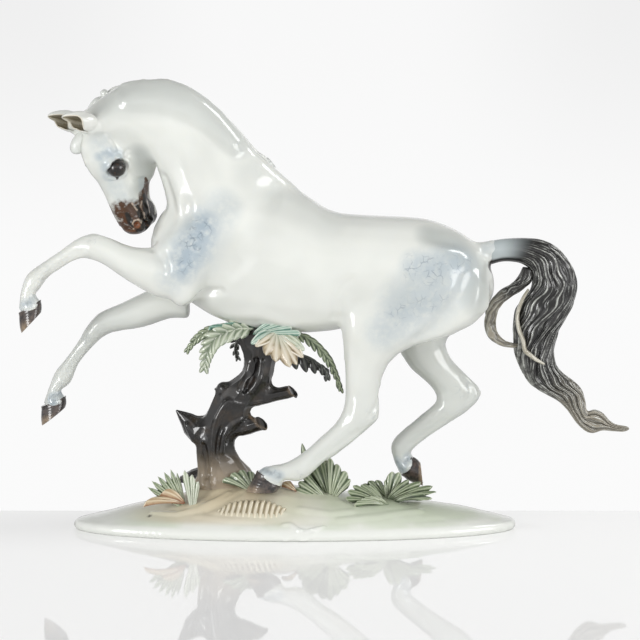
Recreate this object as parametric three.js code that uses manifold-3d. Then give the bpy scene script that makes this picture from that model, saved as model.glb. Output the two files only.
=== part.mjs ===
// Porcelain figurine of a cantering horse, carried by a tree stump with palm fronds on an oval plinth.
// The horse faces -X and its left side looks along -Y. Millimetres, +Z up.
// Each casting is one closed solid; neighbours stand a glaze line apart where they are luted together.
import * as THREE from 'three';
import { mergeVertices } from 'three/addons/utils/BufferGeometryUtils.js';
import Module from 'manifold-3d';

const wasm = await Module();
wasm.setup();

// Driving dimensions of the horse
const BODY_LENGTH = 201; // point of the chest to point of the buttock
const BODY_DEPTH = 68; // saddle to belly
const BARREL_WIDTH = 60;
const BACK_HEIGHT = 186; // saddle above the table
const NECK_LENGTH = 123; // withers to poll, along the middle of the neck
const NECK_WIDTH = 44; // at the shoulder
const HEAD_LENGTH = 76;
const HEAD_DEPTH = 40; // forehead to jowl
const HEAD_WIDTH = 29; // across the eyes
const HEAD_TURN = 38; // degrees that the head looks round to the left
const HEAD_TUCK = 25; // degrees that the nose is drawn in behind the vertical
const EYE_DIAMETER = 8;
const EAR_LENGTH = 20;
const EAR_WIDTH = 11;
const LEFT_FORELEG_LENGTH = 119;
const RIGHT_FORELEG_LENGTH = 119;
const LEFT_HIND_LEG_LENGTH = 189;
const RIGHT_HIND_LEG_LENGTH = 156;
const LEG_WIDTH = 8.8; // across the cannon, side to side
const TAIL_LENGTH = 178;
const TAIL_WIDTH = 24;
const SIDE_LOCK_LENGTH = 61;
const SIDE_LOCK_WIDTH = 9;
const MANE_THICKNESS = 4.4;
const MANE_FALL = 96; // degrees round the neck that the locks hang down
const MANE_SWEEP = 0.1; // share of the neck's length that a lock drifts towards the withers

// Driving dimensions of the tree stump and its leaves
const TRUNK_WIDTH = 21; // across the fluted shaft, side to side
const TRUNK_FOOT_WIDTH = 38;
const STUB_DIAMETER = 10;
const UPPER_STUB_LENGTH = 30;
const LOWER_STUB_LENGTH = 17;
const SPIKE_LENGTH = 22;
const KNOT_DIAMETER = 9;
const ROOT_LENGTH = 18;
const LEAF_THICKNESS = 1.8;
const CROWN_FROND_LENGTH = 43;
const CROWN_FROND_WIDTH = 17;
const CROWN_FAN_RADIUS = 25;
const GROUND_LEAF_LENGTH = 25;
const GROUND_LEAF_WIDTH = 11;
const GROUND_FAN_RADIUS = 25;
const SHELL_LEAF_LENGTH = 40;
const SHELL_LEAF_WIDTH = 20;

// Driving dimensions of the plinth
const PLINTH_LENGTH = 262;
const PLINTH_DEPTH = 86;
const PLINTH_OFFSET = -17.5; // middle of the plinth, ahead of the middle of the horse
const RIM_HEIGHT = 5;
const DOME_HEIGHT = 15.5; // rise of the ground above the rim
const MOUND_HEIGHT = 9; // rise of the ground at the foot of the stump, above the dome
const MOUND_RADIUS = 46;
const FOOT_RING_WIDTH = 6;
const RECESS_DEPTH = 3;
const VENT_DIAMETER = 8;
const VENT_DEPTH = 6;
const SCROLL_LENGTH = 18;

const CLEARANCE = 0.3; // glaze line between neighbouring castings
const MANE_SEAT = 0.65; // the mane's glaze line, over the facets of the neck

const vector = (x, y, z) => new THREE.Vector3(x, y, z);
const radians = THREE.MathUtils.degToRad;
const mix = THREE.MathUtils.lerp;

// Sizes that the section lists below are drawn at
const DRAWN_BARREL = { length: 201, depth: 68, width: 60, centre: -1, saddle: 186 };
const DRAWN_HEAD = { length: 76, depth: 40, width: 29 };
const DRAWN_TRUNK = { top: 125, foot: 12, width: 22, footWidth: 38 };
const DRAWN_WIDTH = { neck: 44, cannon: 8.8, tail: 24, sideLock: 9 };

// Closed surface through rings of points, with both ends closed by a fan
function skin(rings) {
  const sides = rings[0].length;
  const points = rings.flat();
  const faces = [];
  for (let i = 0; i < rings.length - 1; i += 1) {
    for (let j = 0; j < sides; j += 1) {
      const a = i * sides + j;
      const b = i * sides + ((j + 1) % sides);
      faces.push(a, b, b + sides, a, b + sides, a + sides);
    }
  }
  const close = (start, flip) => {
    const middle = vector(0, 0, 0);
    for (let j = 0; j < sides; j += 1) middle.addScaledVector(points[start + j], 1 / sides);
    const centre = points.push(middle) - 1;
    for (let j = 0; j < sides; j += 1) {
      const edge = [start + j, start + ((j + 1) % sides)];
      if (flip) edge.reverse();
      faces.push(centre, edge[1], edge[0]);
    }
  };
  close(0, false);
  close((rings.length - 1) * sides, true);
  let volume = 0;
  for (let i = 0; i < faces.length; i += 3) {
    const [p, q, r] = [points[faces[i]], points[faces[i + 1]], points[faces[i + 2]]];
    volume += p.dot(q.clone().cross(r));
  }
  if (volume < 0) faces.reverse();
  const geometry = new THREE.BufferGeometry().setFromPoints(points);
  geometry.setIndex(faces);
  return geometry;
}

// Solid of a closed geometry
function solidOf(geometry) {
  const plain = geometry.clone();
  plain.deleteAttribute('normal');
  plain.deleteAttribute('uv');
  const merged = mergeVertices(plain, 1e-4);
  const vertProperties = new Float32Array(merged.attributes.position.array);
  const triVerts = new Uint32Array(merged.index.array);
  return new wasm.Manifold(new wasm.Mesh({ numProp: 3, vertProperties, triVerts }));
}

// Geometry of a solid
function geometryOf(solid) {
  const mesh = solid.getMesh();
  const geometry = new THREE.BufferGeometry();
  geometry.setAttribute('position', new THREE.BufferAttribute(new Float32Array(mesh.vertProperties), 3));
  geometry.setIndex(new THREE.BufferAttribute(new Uint32Array(mesh.triVerts), 1));
  geometry.computeVertexNormals();
  return geometry;
}

const joined = (...solids) => solids.reduce((whole, piece) => whole.add(piece));
const cutBy = (solid, ...tools) => tools.reduce((rest, tool) => rest.subtract(tool), solid);

// Largest connected body of a solid, without the crumbs that a cut leaves
function largestOf(solid) {
  const bodies = solid.decompose();
  return bodies.reduce((best, body) => (body.volume() > best.volume() ? body : best));
}

// Block that fills the space on the side of a plane that its normal points to
function halfSpace(point, normal, reach = 400) {
  const block = new THREE.BoxGeometry(reach, reach, reach);
  block.translate(0, 0, reach / 2);
  const turn = new THREE.Quaternion().setFromUnitVectors(vector(0, 0, 1), normal.clone().normalize());
  block.applyQuaternion(turn);
  block.translate(point.x, point.y, point.z);
  return solidOf(block);
}

// A cast form drawn as sections of [front x, front z, rear x, rear z, side shift, half width, egg]
class Casting {
  constructor(sections, { sides = 12, rings = 12, flutes = 0, fluteDepth = 0, fluteTwist = 0 } = {}) {
    Object.assign(this, { sides, last: rings - 1, flutes, fluteDepth, fluteTwist });
    const curve = (points) => new THREE.CatmullRomCurve3(points, false, 'catmullrom', 0.5);
    this.front = curve(sections.map(([x, z, , , y]) => vector(x, y, z)));
    this.rear = curve(sections.map(([, , x, z, y]) => vector(x, y, z)));
    this.girth = curve(sections.map(([, , , , , half, egg = 0]) => vector(half, egg, 0)));
  }

  // Point of the surface: t runs along the casting, turn round it from its front line
  point(t, turn, grow = 0) {
    const front = this.front.getPoint(t);
    const rear = this.rear.getPoint(t);
    const { x: half, y: egg } = this.girth.getPoint(t);
    const middle = front.clone().add(rear).multiplyScalar(0.5);
    const reach = front.clone().sub(rear).multiplyScalar(0.5);
    const swell = 1 + this.fluteDepth * Math.cos(this.flutes * (turn + this.fluteTwist * t));
    const along = Math.cos(turn) * (swell + grow / Math.max(reach.length(), 1));
    const aside = Math.sin(turn) * (half * swell * (1 - egg * Math.cos(turn)) + grow);
    return middle.addScaledVector(reach, along).add(vector(0, aside, 0));
  }

  // Middle of the section at t
  middle(t) {
    return this.front.getPoint(t).add(this.rear.getPoint(t)).multiplyScalar(0.5);
  }

  solid(grow = 0) {
    const rings = [];
    const { last } = this;
    for (let i = 0; i <= last; i += 1) {
      const ring = [];
      for (let j = 0; j < this.sides; j += 1) {
        ring.push(this.point(i / last, (2 * Math.PI * j) / this.sides, grow));
      }
      rings.push(ring);
    }
    if (grow > 0) {
      const outwards = (from, to) => to.clone().sub(from).setLength(grow);
      const head = outwards(this.middle(1 / last), this.middle(0));
      const foot = outwards(this.middle(1 - 1 / last), this.middle(1));
      rings[0].forEach((point) => point.add(head));
      rings[last].forEach((point) => point.add(foot));
    }
    return solidOf(skin(rings));
  }
}

// Sections moved from one drawn point to its place, and scaled in length, thickness and width
function placed(sections, from, to, scale, widen) {
  const x = (value) => to[0] + (value - from[0]) * scale[0];
  const z = (value) => to[1] + (value - from[1]) * scale[1];
  return sections.map(([ax, az, bx, bz, y, half, egg]) => (
    [x(ax), z(az), x(bx), z(bz), y * widen, half * widen, egg]
  ));
}

// Length of the middle line of drawn sections
function drawnLength(sections) {
  const middles = sections.map(([ax, az, bx, bz]) => vector((ax + bx) / 2, 0, (az + bz) / 2));
  return middles.slice(1).reduce((sum, point, i) => sum + point.distanceTo(middles[i]), 0);
}

// Trunk of the horse, drawn from the chest to the buttock
const BARREL_SECTIONS = [
  [-101.5, 171, -101, 164, 0, 5],
  [-98.5, 181.5, -96.5, 149, 0, 15],
  [-89, 194.5, -87, 141, 0, 22],
  [-74, 204, -75.5, 132.5, 0, 25],
  [-57.5, 209, -59, 123, 0, 27],
  [-36.5, 209, -39, 118.5, 0, 29, 0.15],
  [-14.5, 200.5, -15.5, 116.5, 0, 30, 0.15],
  [-2, 191.5, -3, 117, 0, 30, 0.1],
  [10, 187, 9, 118.5, 0, 30, 0.1],
  [25.5, 186, 25.5, 121.5, 0, 29],
  [45.5, 185, 45.5, 123, 0, 28.5],
  [61.5, 183.5, 63, 121, 0, 28],
  [76.5, 177.5, 79.5, 123, 0, 25],
  [88.5, 169.5, 91.5, 128.5, 0, 19],
  [96, 158, 97.5, 136, 0, 11],
  [99, 150, 99.5, 141.5, 0, 4],
];
const bodyScale = [BODY_LENGTH / DRAWN_BARREL.length, BODY_DEPTH / DRAWN_BARREL.depth];
const bodyWiden = BARREL_WIDTH / DRAWN_BARREL.width;
const saddleDrawn = [DRAWN_BARREL.centre, DRAWN_BARREL.saddle];
const saddle = [DRAWN_BARREL.centre, BACK_HEIGHT];
const onBody = ([x, z]) => [
  saddle[0] + (x - saddleDrawn[0]) * bodyScale[0],
  saddle[1] + (z - saddleDrawn[1]) * bodyScale[1],
];

// A form drawn in the place of the barrel
function onBarrel(sections, options) {
  return new Casting(placed(sections, saddleDrawn, saddle, bodyScale, bodyWiden), options);
}
const barrel = onBarrel(BARREL_SECTIONS, { sides: 20, rings: 22 });

// A limb keeps its root on the body and takes its own length and width
function limb(sections, length, width, drawnWidth, options) {
  const [ax, az, bx, bz] = sections[0];
  const root = [(ax + bx) / 2, (az + bz) / 2];
  const scale = length / drawnLength(sections);
  return new Casting(placed(sections, root, onBody(root), [scale, scale], width / drawnWidth), options);
}

// Neck, drawn from the withers to the poll, crest first
const NECK_SECTIONS = [
  [-6, 193.5, -86, 156, 0, 23, 0.3],
  [-14, 201, -90.5, 164, 0, 22, 0.3],
  [-27.5, 213, -94, 180, 0, 20.5, 0.35],
  [-38.5, 222, -92, 191, -1, 18.5, 0.4],
  [-49, 235.5, -93.5, 200, -2, 16.5, 0.4],
  [-61, 249, -95.5, 207.5, -3, 15, 0.4],
  [-75, 260, -97.5, 213.5, -4.5, 14, 0.35],
  [-90.5, 266, -98.5, 218.5, -6, 13.5, 0.3],
  [-105, 266, -101.5, 220.5, -9, 13.5, 0.25],
  [-119, 263, -108, 222, -12, 13, 0.2],
  [-130, 257, -116, 221, -15, 12, 0.1],
  [-139, 247, -124, 222, -17, 10],
];
const neck = limb(NECK_SECTIONS, NECK_LENGTH, NECK_WIDTH, DRAWN_WIDTH.neck, { sides: 16, rings: 15 });

// Shoulder, stifle and haunch muscles that stand out from the barrel on both sides
const LEFT_SHOULDER_SECTIONS = [
  [-69, 198, -49, 201.5, -10, 8],
  [-88.5, 183, -53.5, 181, -13, 12],
  [-97, 169.5, -59.5, 159.5, -15, 14],
  [-96.5, 156.5, -67.5, 146.5, -16, 14],
  [-91.5, 142.5, -74, 139, -17, 11],
  [-86, 135, -78.5, 134.5, -17, 6],
];
function mirrored(sections) {
  return sections.map(([ax, az, bx, bz, y, half, egg]) => [ax, az, bx, bz, -y, half, egg]);
}
const leftShoulder = onBarrel(LEFT_SHOULDER_SECTIONS, { sides: 12, rings: 9 });
const rightShoulder = onBarrel(mirrored(LEFT_SHOULDER_SECTIONS), { sides: 12, rings: 9 });

// Forelegs, drawn from the forearm inside the shoulder to the toe, front of the leg first
const LEFT_FORELEG_SECTIONS = [
  [-92.5, 172.5, -78, 137.5, -16, 11],
  [-101, 168.5, -93.5, 138, -17, 11],
  [-112.5, 169.5, -108, 145, -17.5, 10],
  [-121, 173, -120, 153, -18, 8.5],
  [-127.5, 175.5, -129.5, 159.5, -18, 7.4],
  [-134.5, 177, -138, 162, -18, 7],
  [-143.5, 173.5, -138.5, 162.5, -18, 5.8],
  [-150.5, 168.5, -145.5, 160.5, -18, 4.6],
  [-157, 164, -152.5, 156, -18, 4.2],
  [-164.5, 159, -159.5, 151.5, -18, 4.4],
  [-171.5, 154, -163, 146.5, -18, 5.6],
  [-174, 149.5, -166, 143, -18, 5.4],
  [-176, 143, -168.5, 140.5, -18, 4.6],
  [-177, 135, -166.5, 139.5, -18, 5.8],
  [-177.5, 130.5, -164.5, 138.5, -18, 7.2],
  [-176, 118.5, -164.5, 130.5, -18, 8.3],
];
const RIGHT_FORELEG_SECTIONS = [
  [-80.5, 136, -79.5, 122.5, 15, 8],
  [-90, 142, -88, 123.5, 15.5, 10],
  [-100.5, 141.5, -97, 121, 16, 10.5],
  [-109, 138, -107, 117.5, 16, 10],
  [-120, 132.5, -117.5, 116, 16, 8.5],
  [-129.5, 128.5, -126, 114.5, 16, 7.4],
  [-135, 125.5, -131, 112, 16, 7],
  [-141.5, 118, -134, 109.5, 16, 6],
  [-145.5, 110.5, -139, 104.5, 16, 5],
  [-153, 100, -146, 96, 16, 4.3],
  [-159, 93, -148.5, 89.5, 16, 5],
  [-161.5, 88.5, -151.5, 83.5, 16, 5.6],
  [-163.5, 83, -156.5, 80.5, 16, 4.6],
  [-166, 76, -157.5, 77.5, 16, 5.6],
  [-167.5, 71, -154.5, 77, 16, 7],
  [-168.5, 59.5, -154, 70.5, 16, 8],
];

// Hind legs, drawn from inside the haunch to the toe
const LEFT_HIND_LEG_SECTIONS = [
  [42.5, 175, 84.5, 166.5, -12, 13],
  [27.5, 159.5, 96, 149, -15, 15],
  [13.5, 142.5, 95.5, 131.5, -16.5, 15.5],
  [8.5, 127.5, 78.5, 118.5, -17, 14.5],
  [10, 115.5, 51, 110.5, -17, 12],
  [11.5, 101.5, 38.5, 102, -17, 10],
  [12, 88.5, 33, 89.5, -17, 8],
  [11.5, 77.5, 32.5, 78, -17.5, 6.6],
  [9.5, 71.5, 32, 69, -18, 6.3],
  [6, 65.5, 27, 63.5, -18, 5.8],
  [-1.5, 58.5, 10, 49, -18, 5.4],
  [-9, 51.5, -0.5, 42.5, -18.5, 5],
  [-19, 44.5, -7.5, 35.5, -19, 5.6],
  [-25.5, 42, -15.5, 31, -19, 5.6],
  [-32, 41, -23, 33, -19, 5.2],
  [-39, 37.5, -24, 30.5, -19, 7],
  [-46, 25.5, -25, 26, -19, 8.5],
];
const RIGHT_HIND_LEG_SECTIONS = [
  [41.5, 158, 86, 152, 13, 13],
  [39, 134, 91, 131, 15, 14],
  [40.5, 116, 81.5, 119, 16, 12],
  [44.5, 103, 72, 110, 16, 10],
  [51.5, 92.5, 75, 100, 16, 9],
  [60, 85.5, 80.5, 93.5, 16, 8],
  [65, 79.5, 88.5, 85.5, 16, 7],
  [66.5, 74, 94, 79, 16, 6.3],
  [63.5, 70.5, 88, 69.5, 16, 6],
  [57.5, 65.5, 72.5, 59, 16, 5.4],
  [50.5, 59.5, 62, 52, 16, 4.8],
  [42.5, 52.5, 53.5, 45, 16, 5.4],
  [39.5, 46.5, 51, 41.5, 16, 5.6],
  [40.5, 40.5, 49.5, 40, 16, 4.8],
  [43.5, 33, 52, 39.5, 16, 5.8],
  [46, 29, 53, 40.5, 16, 7],
  [59.5, 22, 56, 38, 16, 8],
];
const legWiden = LEG_WIDTH / DRAWN_WIDTH.cannon;

// A leg sits as wide apart as the barrel sets, and is as thick as its own width sets
function leg(sections, length) {
  const apart = bodyWiden / legWiden;
  const spaced = sections.map(([ax, az, bx, bz, y, half]) => [ax, az, bx, bz, y * apart, half]);
  return limb(spaced, length, LEG_WIDTH, DRAWN_WIDTH.cannon, { sides: 10, rings: 26 });
}
const leftForeleg = leg(LEFT_FORELEG_SECTIONS, LEFT_FORELEG_LENGTH);
const rightForeleg = leg(RIGHT_FORELEG_SECTIONS, RIGHT_FORELEG_LENGTH);
const leftHindLeg = leg(LEFT_HIND_LEG_SECTIONS, LEFT_HIND_LEG_LENGTH);
const rightHindLeg = leg(RIGHT_HIND_LEG_SECTIONS, RIGHT_HIND_LEG_LENGTH);

// Tail, drawn from the dock to the tip, outer side first
const TAIL_SECTIONS = [
  [85, 169.5, 87.5, 158, 0, 5.5],
  [94, 170.5, 96, 157, 0, 6],
  [105, 172, 105, 159, 0, 6.5],
  [115.5, 172.5, 113.5, 158, 0, 7.5],
  [126, 171.5, 118, 154.5, 0, 9],
  [136.5, 165.5, 118.5, 148, 0, 10.5],
  [144, 156.5, 119.5, 144, 0, 11.5],
  [147.5, 144, 117.5, 139.5, 0, 12],
  [146, 131.5, 114, 132.5, 0, 12],
  [140, 122, 111.5, 125, 0, 11.5],
  [136.5, 114.5, 110.5, 117.5, 0, 11],
  [135.5, 106, 111.5, 107.5, 0, 10.5],
  [137.5, 99, 114, 99, 0, 10],
  [142, 92.5, 121, 86, 0, 9.5],
  [151, 84.5, 133.5, 78.5, 0, 9],
  [154.5, 75.5, 140.5, 73, 0, 8],
  [156, 67.5, 146, 64.5, 0, 7.5],
  [160.5, 69.5, 152, 58.5, 0, 6],
  [166.5, 67, 159, 56.5, 0, 5],
  [172, 63, 166.5, 58.5, 0, 3.5],
  [176, 60.5, 174.5, 57.5, 0, 2.2],
  [181, 60, 179.5, 58, 0, 1.2],
];
const tail = limb(TAIL_SECTIONS, TAIL_LENGTH, TAIL_WIDTH, DRAWN_WIDTH.tail, {
  sides: 16, rings: 28, flutes: 5, fluteDepth: 0.07, fluteTwist: 2,
});

// Lock that leaves the tail under the dock and curls forward and back to it
const SIDE_LOCK_SECTIONS = [
  [120, 155, 114.5, 152.5, -2, 5],
  [119, 145, 113, 147.5, -3, 4.5],
  [115, 136.5, 109.5, 142, -4, 4.2],
  [106, 131.5, 101, 137, -4, 3.8],
  [100.5, 125.5, 94, 128, -4, 3.5],
  [101, 118, 93.5, 120.5, -4, 3.2],
  [105, 113, 99.5, 111, -4, 2.8],
  [111.5, 112, 111, 108.5, -4, 2.2],
];
const sideLock = limb(SIDE_LOCK_SECTIONS, SIDE_LOCK_LENGTH, SIDE_LOCK_WIDTH, DRAWN_WIDTH.sideLock, {
  sides: 8, rings: 13,
});

// Head, drawn down from the poll: [distance from poll, face line, rear line, half width, egg]
const HEAD_SECTIONS = [
  [-5, -10, -21, 5, 0],
  [0, -3, -25, 9.5, 0],
  [8, 0, -30, 11.5, 0],
  [16, 3.4, -35, 12.8, 0.1],
  [23, 4.2, -39, 13.8, 0.12],
  [31, 2.8, -41.5, 14.8, 0.15],
  [38, 0.3, -40, 13.2, 0.1],
  [46, -0.6, -34, 11.2, 0],
  [54, -0.6, -29, 9.8, 0],
  [62, -1, -26, 8.8, 0],
  [68, -2, -25.5, 8.8, 0],
  [73, -4, -24, 8, 0],
  [76.5, -8, -18, 5, 0],
];
const poll = onBody([-143, 239]);
const POLL_SIDE_SHIFT = -16;

// Places of the head's drawing: down along the face, forward out of it and to its right side
function inHead(down, forward, right = 0) {
  const tuck = radians(HEAD_TUCK);
  const length = HEAD_LENGTH / DRAWN_HEAD.length;
  const depth = HEAD_DEPTH / DRAWN_HEAD.depth;
  const x = down * length * Math.sin(tuck) - forward * depth * Math.cos(tuck);
  const z = -down * length * Math.cos(tuck) - forward * depth * Math.sin(tuck);
  return vector(x, (right * HEAD_WIDTH) / DRAWN_HEAD.width, z)
    .applyAxisAngle(vector(0, 0, 1), radians(HEAD_TURN))
    .add(vector(poll[0], POLL_SIDE_SHIFT, poll[1]));
}

// Solid through rings that are drawn in the head's own places
function headLoft(sections, sides, grow = 0) {
  const rings = sections.map(([down, face, rear, half, egg]) => {
    const middle = (face + rear) / 2;
    const reach = (face - rear) / 2 + grow;
    return Array.from({ length: sides }, (_, j) => {
      const turn = (2 * Math.PI * j) / sides;
      const wide = (half + grow) * (1 - egg * Math.cos(turn));
      return inHead(down, middle + reach * Math.cos(turn), wide * Math.sin(turn));
    });
  });
  return solidOf(skin(rings));
}

// Ellipsoid placed in the head
function headBead(down, forward, right, size) {
  const bead = new THREE.SphereGeometry(0.5, 8, 6);
  bead.scale(size[0], size[1], size[2]);
  bead.rotateY(-radians(HEAD_TUCK));
  bead.rotateZ(radians(HEAD_TURN));
  const place = inHead(down, forward, right);
  bead.translate(place.x, place.y, place.z);
  return solidOf(bead);
}

const EYE_PLACE = { down: 30.5, forward: -9.5, right: 12.6 };
const NOSTRIL_PLACE = { down: 70, forward: -9, right: 7 };
const SIDES = { left: -1, right: 1 };

function headSolid(grow = 0) {
  const skull = headLoft(HEAD_SECTIONS, 14, grow);
  const swell = 2 * grow;
  const features = Object.values(SIDES).flatMap((side) => [
    headBead(EYE_PLACE.down - 3, EYE_PLACE.forward + 2, side * (EYE_PLACE.right - 2),
      [13 + swell, 6 + swell, 8 + swell]),
    headBead(EYE_PLACE.down + 1, EYE_PLACE.forward, side * (EYE_PLACE.right - 1.2),
      [EYE_DIAMETER * 1.3 + swell, EYE_DIAMETER * 0.7 + swell, EYE_DIAMETER + swell]),
    headBead(33, -28, side * 7, [26 + swell, 13 + swell, 26 + swell]),
  ]);
  const nostrils = Object.values(SIDES).map((side) => (
    headBead(NOSTRIL_PLACE.down, NOSTRIL_PLACE.forward, side * NOSTRIL_PLACE.right, [6, 4, 3.2])
  ));
  const mouth = headLoft([
    [64, -16.5, -17.5, 11, 0],
    [72, -16, -17.5, 11, 0],
    [82, -15.5, -17.5, 11, 0],
  ], 8);
  const jawTip = headBead(70, -23, 0, [8 + swell, 9 + swell, 9 + swell]);
  const whole = joined(skull, ...features, jawTip);
  return grow > 0 ? whole : cutBy(whole, ...nostrils, mouth);
}

// Planes where the castings are luted together, each with the direction towards the outer casting
function seam(drawn, y, towards) {
  const [x, z] = onBody(drawn);
  return { point: vector(x, y, z), normal: vector(...towards).normalize() };
}
const SEAMS = {
  head: seam([-116, 244], POLL_SIDE_SHIFT / 2, [-0.87, 0, -0.5]),
  leftForeleg: seam([-107, 156], 0, [-1, 0, 0]),
  rightForeleg: seam([-105, 130], 0, [-1, 0, 0]),
  leftHindLeg: seam([25, 107], 0, [0, 0, -1]),
  rightHindLeg: seam([62, 104], 0, [0.2, 0, -1]),
  tail: seam([101.5, 165], 0, [1, 0, 0]),
};

// Part of a solid on the outer side of a seam, and on its root side
const SEAM_REACH = 70;
function beyond(solid, { point, normal }) {
  return solid.intersect(halfSpace(point.clone().addScaledVector(normal, CLEARANCE / 2), normal));
}
function before(solid, { point, normal }) {
  return solid.subtract(halfSpace(point.clone().addScaledVector(normal, -CLEARANCE / 2), normal, SEAM_REACH));
}

function bodySolid(grow = 0) {
  const rest = (casting, plane) => before(casting.solid(grow), plane);
  return largestOf(joined(
    barrel.solid(grow),
    leftShoulder.solid(grow),
    rightShoulder.solid(grow),
    cutBy(rest(neck, SEAMS.head), headSolid(CLEARANCE)),
    rest(leftForeleg, SEAMS.leftForeleg),
    rest(rightForeleg, SEAMS.rightForeleg),
    rest(leftHindLeg, SEAMS.leftHindLeg),
    rest(rightHindLeg, SEAMS.rightHindLeg),
    rest(tail, SEAMS.tail),
  ));
}

// Solid of rings along a path: radii across and along the lift direction at each point
function strand(points, radii, lifts, sides = 8) {
  const path = new THREE.CatmullRomCurve3(points);
  const last = (points.length - 1) * 2;
  const rings = [];
  for (let i = 0; i <= last; i += 1) {
    const t = i / last;
    const k = Math.min(Math.floor(t * (points.length - 1)), points.length - 2);
    const part = t * (points.length - 1) - k;
    const place = path.getPoint(t);
    const forward = path.getTangent(t);
    const lift = lifts[k].clone().lerp(lifts[k + 1], part);
    const across = forward.clone().cross(lift).normalize();
    const outward = across.clone().cross(forward).normalize();
    const wide = mix(radii[k][0], radii[k + 1][0], part);
    const thick = mix(radii[k][1], radii[k + 1][1], part);
    rings.push(Array.from({ length: sides }, (_, j) => {
      const turn = (2 * Math.PI * j) / sides;
      return place.clone()
        .addScaledVector(across, wide * Math.cos(turn))
        .addScaledVector(outward, thick * Math.sin(turn));
    }));
  }
  return solidOf(skin(rings));
}

// Mane: a row of ridged, pointed locks that lies on the right side of the neck
const MANE_LOCKS = 8;
function maneSolid() {
  const columns = MANE_LOCKS * 4;
  const rows = 4;
  const rings = [];
  for (let i = 0; i <= columns; i += 1) {
    const share = i / columns;
    const crest = mix(0.985, 0.14, share);
    const ridge = Math.abs(Math.sin(Math.PI * MANE_LOCKS * share));
    const fromEnd = Math.min(share, 1 - share);
    const parting = mix(-8, 14, Math.min(1, 8 * fromEnd));
    const fall = mix(0.74, 1, ridge) * MANE_FALL;
    const inner = [];
    const outer = [];
    for (let j = 0; j <= rows; j += 1) {
      const down = j / rows;
      const turn = radians(mix(parting, fall, down));
      const full = mix(0.35, 1, ridge) * Math.min(1, 0.4 + 3 * share);
    const thick = MANE_THICKNESS * full * Math.sin(Math.PI * mix(0.16, 0.94, down));
      const t = crest - MANE_SWEEP * down;
      inner.push(neck.point(t, turn, MANE_SEAT));
      outer.push(neck.point(t, turn, MANE_SEAT + thick));
    }
    rings.push([...outer, ...inner.reverse()]);
  }
  return solidOf(skin(rings));
}

// Forelock: a curl that rolls over the forehead between the ears
function forelockSolid() {
  const points = [inHead(-2, -4, 2), inHead(5, 1, 5), inHead(12, 3.5, 8), inHead(18, 3, 9)];
  const lifts = points.map((point) => point.clone().sub(inHead(12, -16, 0)).normalize());
  return strand(points, [[3, 2], [5, 3.2], [5.4, 3.6], [2.4, 1.6]], lifts);
}

// Ear: a pointed cone, scooped out on the side that looks forward
function earSolid(side) {
  const base = inHead(4.5, -7, side * 8.5);
  const tip = inHead(-EAR_LENGTH * 0.6, EAR_LENGTH * 0.8 - 6, side * 7.5);
  const up = inHead(-10, 0, 0).sub(inHead(0, 0, 0)).normalize();
  const half = EAR_WIDTH / 2;
  const bow = (part) => -half * 0.35 * Math.sin(Math.PI * part);
  const ridge = [0, 0.35, 0.65, 1].map((part) => base.clone().lerp(tip, part).addScaledVector(up, bow(part)));
  const lifts = ridge.map(() => up);
  const taper = [[half * 0.9, half * 0.9], [half, half * 0.9], [half * 0.75, half * 0.6], [0.4, 0.4]];
  const shell = strand(ridge, taper, lifts);
  const scoopPath = ridge.slice(1).map((point) => point.clone().addScaledVector(up, -half * 0.75));
  const hollow = [[half * 0.6, half * 0.7], [half * 0.5, half * 0.6], [0.2, 0.3]];
  const scoop = strand(scoopPath, hollow, lifts.slice(1));
  return shell.subtract(scoop);
}

// Ground of the plinth: dome with a mound where the stump stands
const stumpFoot = [onBody([-58, 0])[0], 4];
const mound = [onBody([-50, 0])[0], -6];
function groundHeight(x, y) {
  const r = Math.min(Math.hypot((x - PLINTH_OFFSET) / (PLINTH_LENGTH / 2), y / (PLINTH_DEPTH / 2)), 1);
  const dome = DOME_HEIGHT * (1 - r ** 2.4);
  const away = Math.hypot(x - mound[0], 1.3 * (y - mound[1])) / MOUND_RADIUS;
  return RIM_HEIGHT + dome + MOUND_HEIGHT * Math.exp(-away * away) * (1 - r * r);
}

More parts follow.
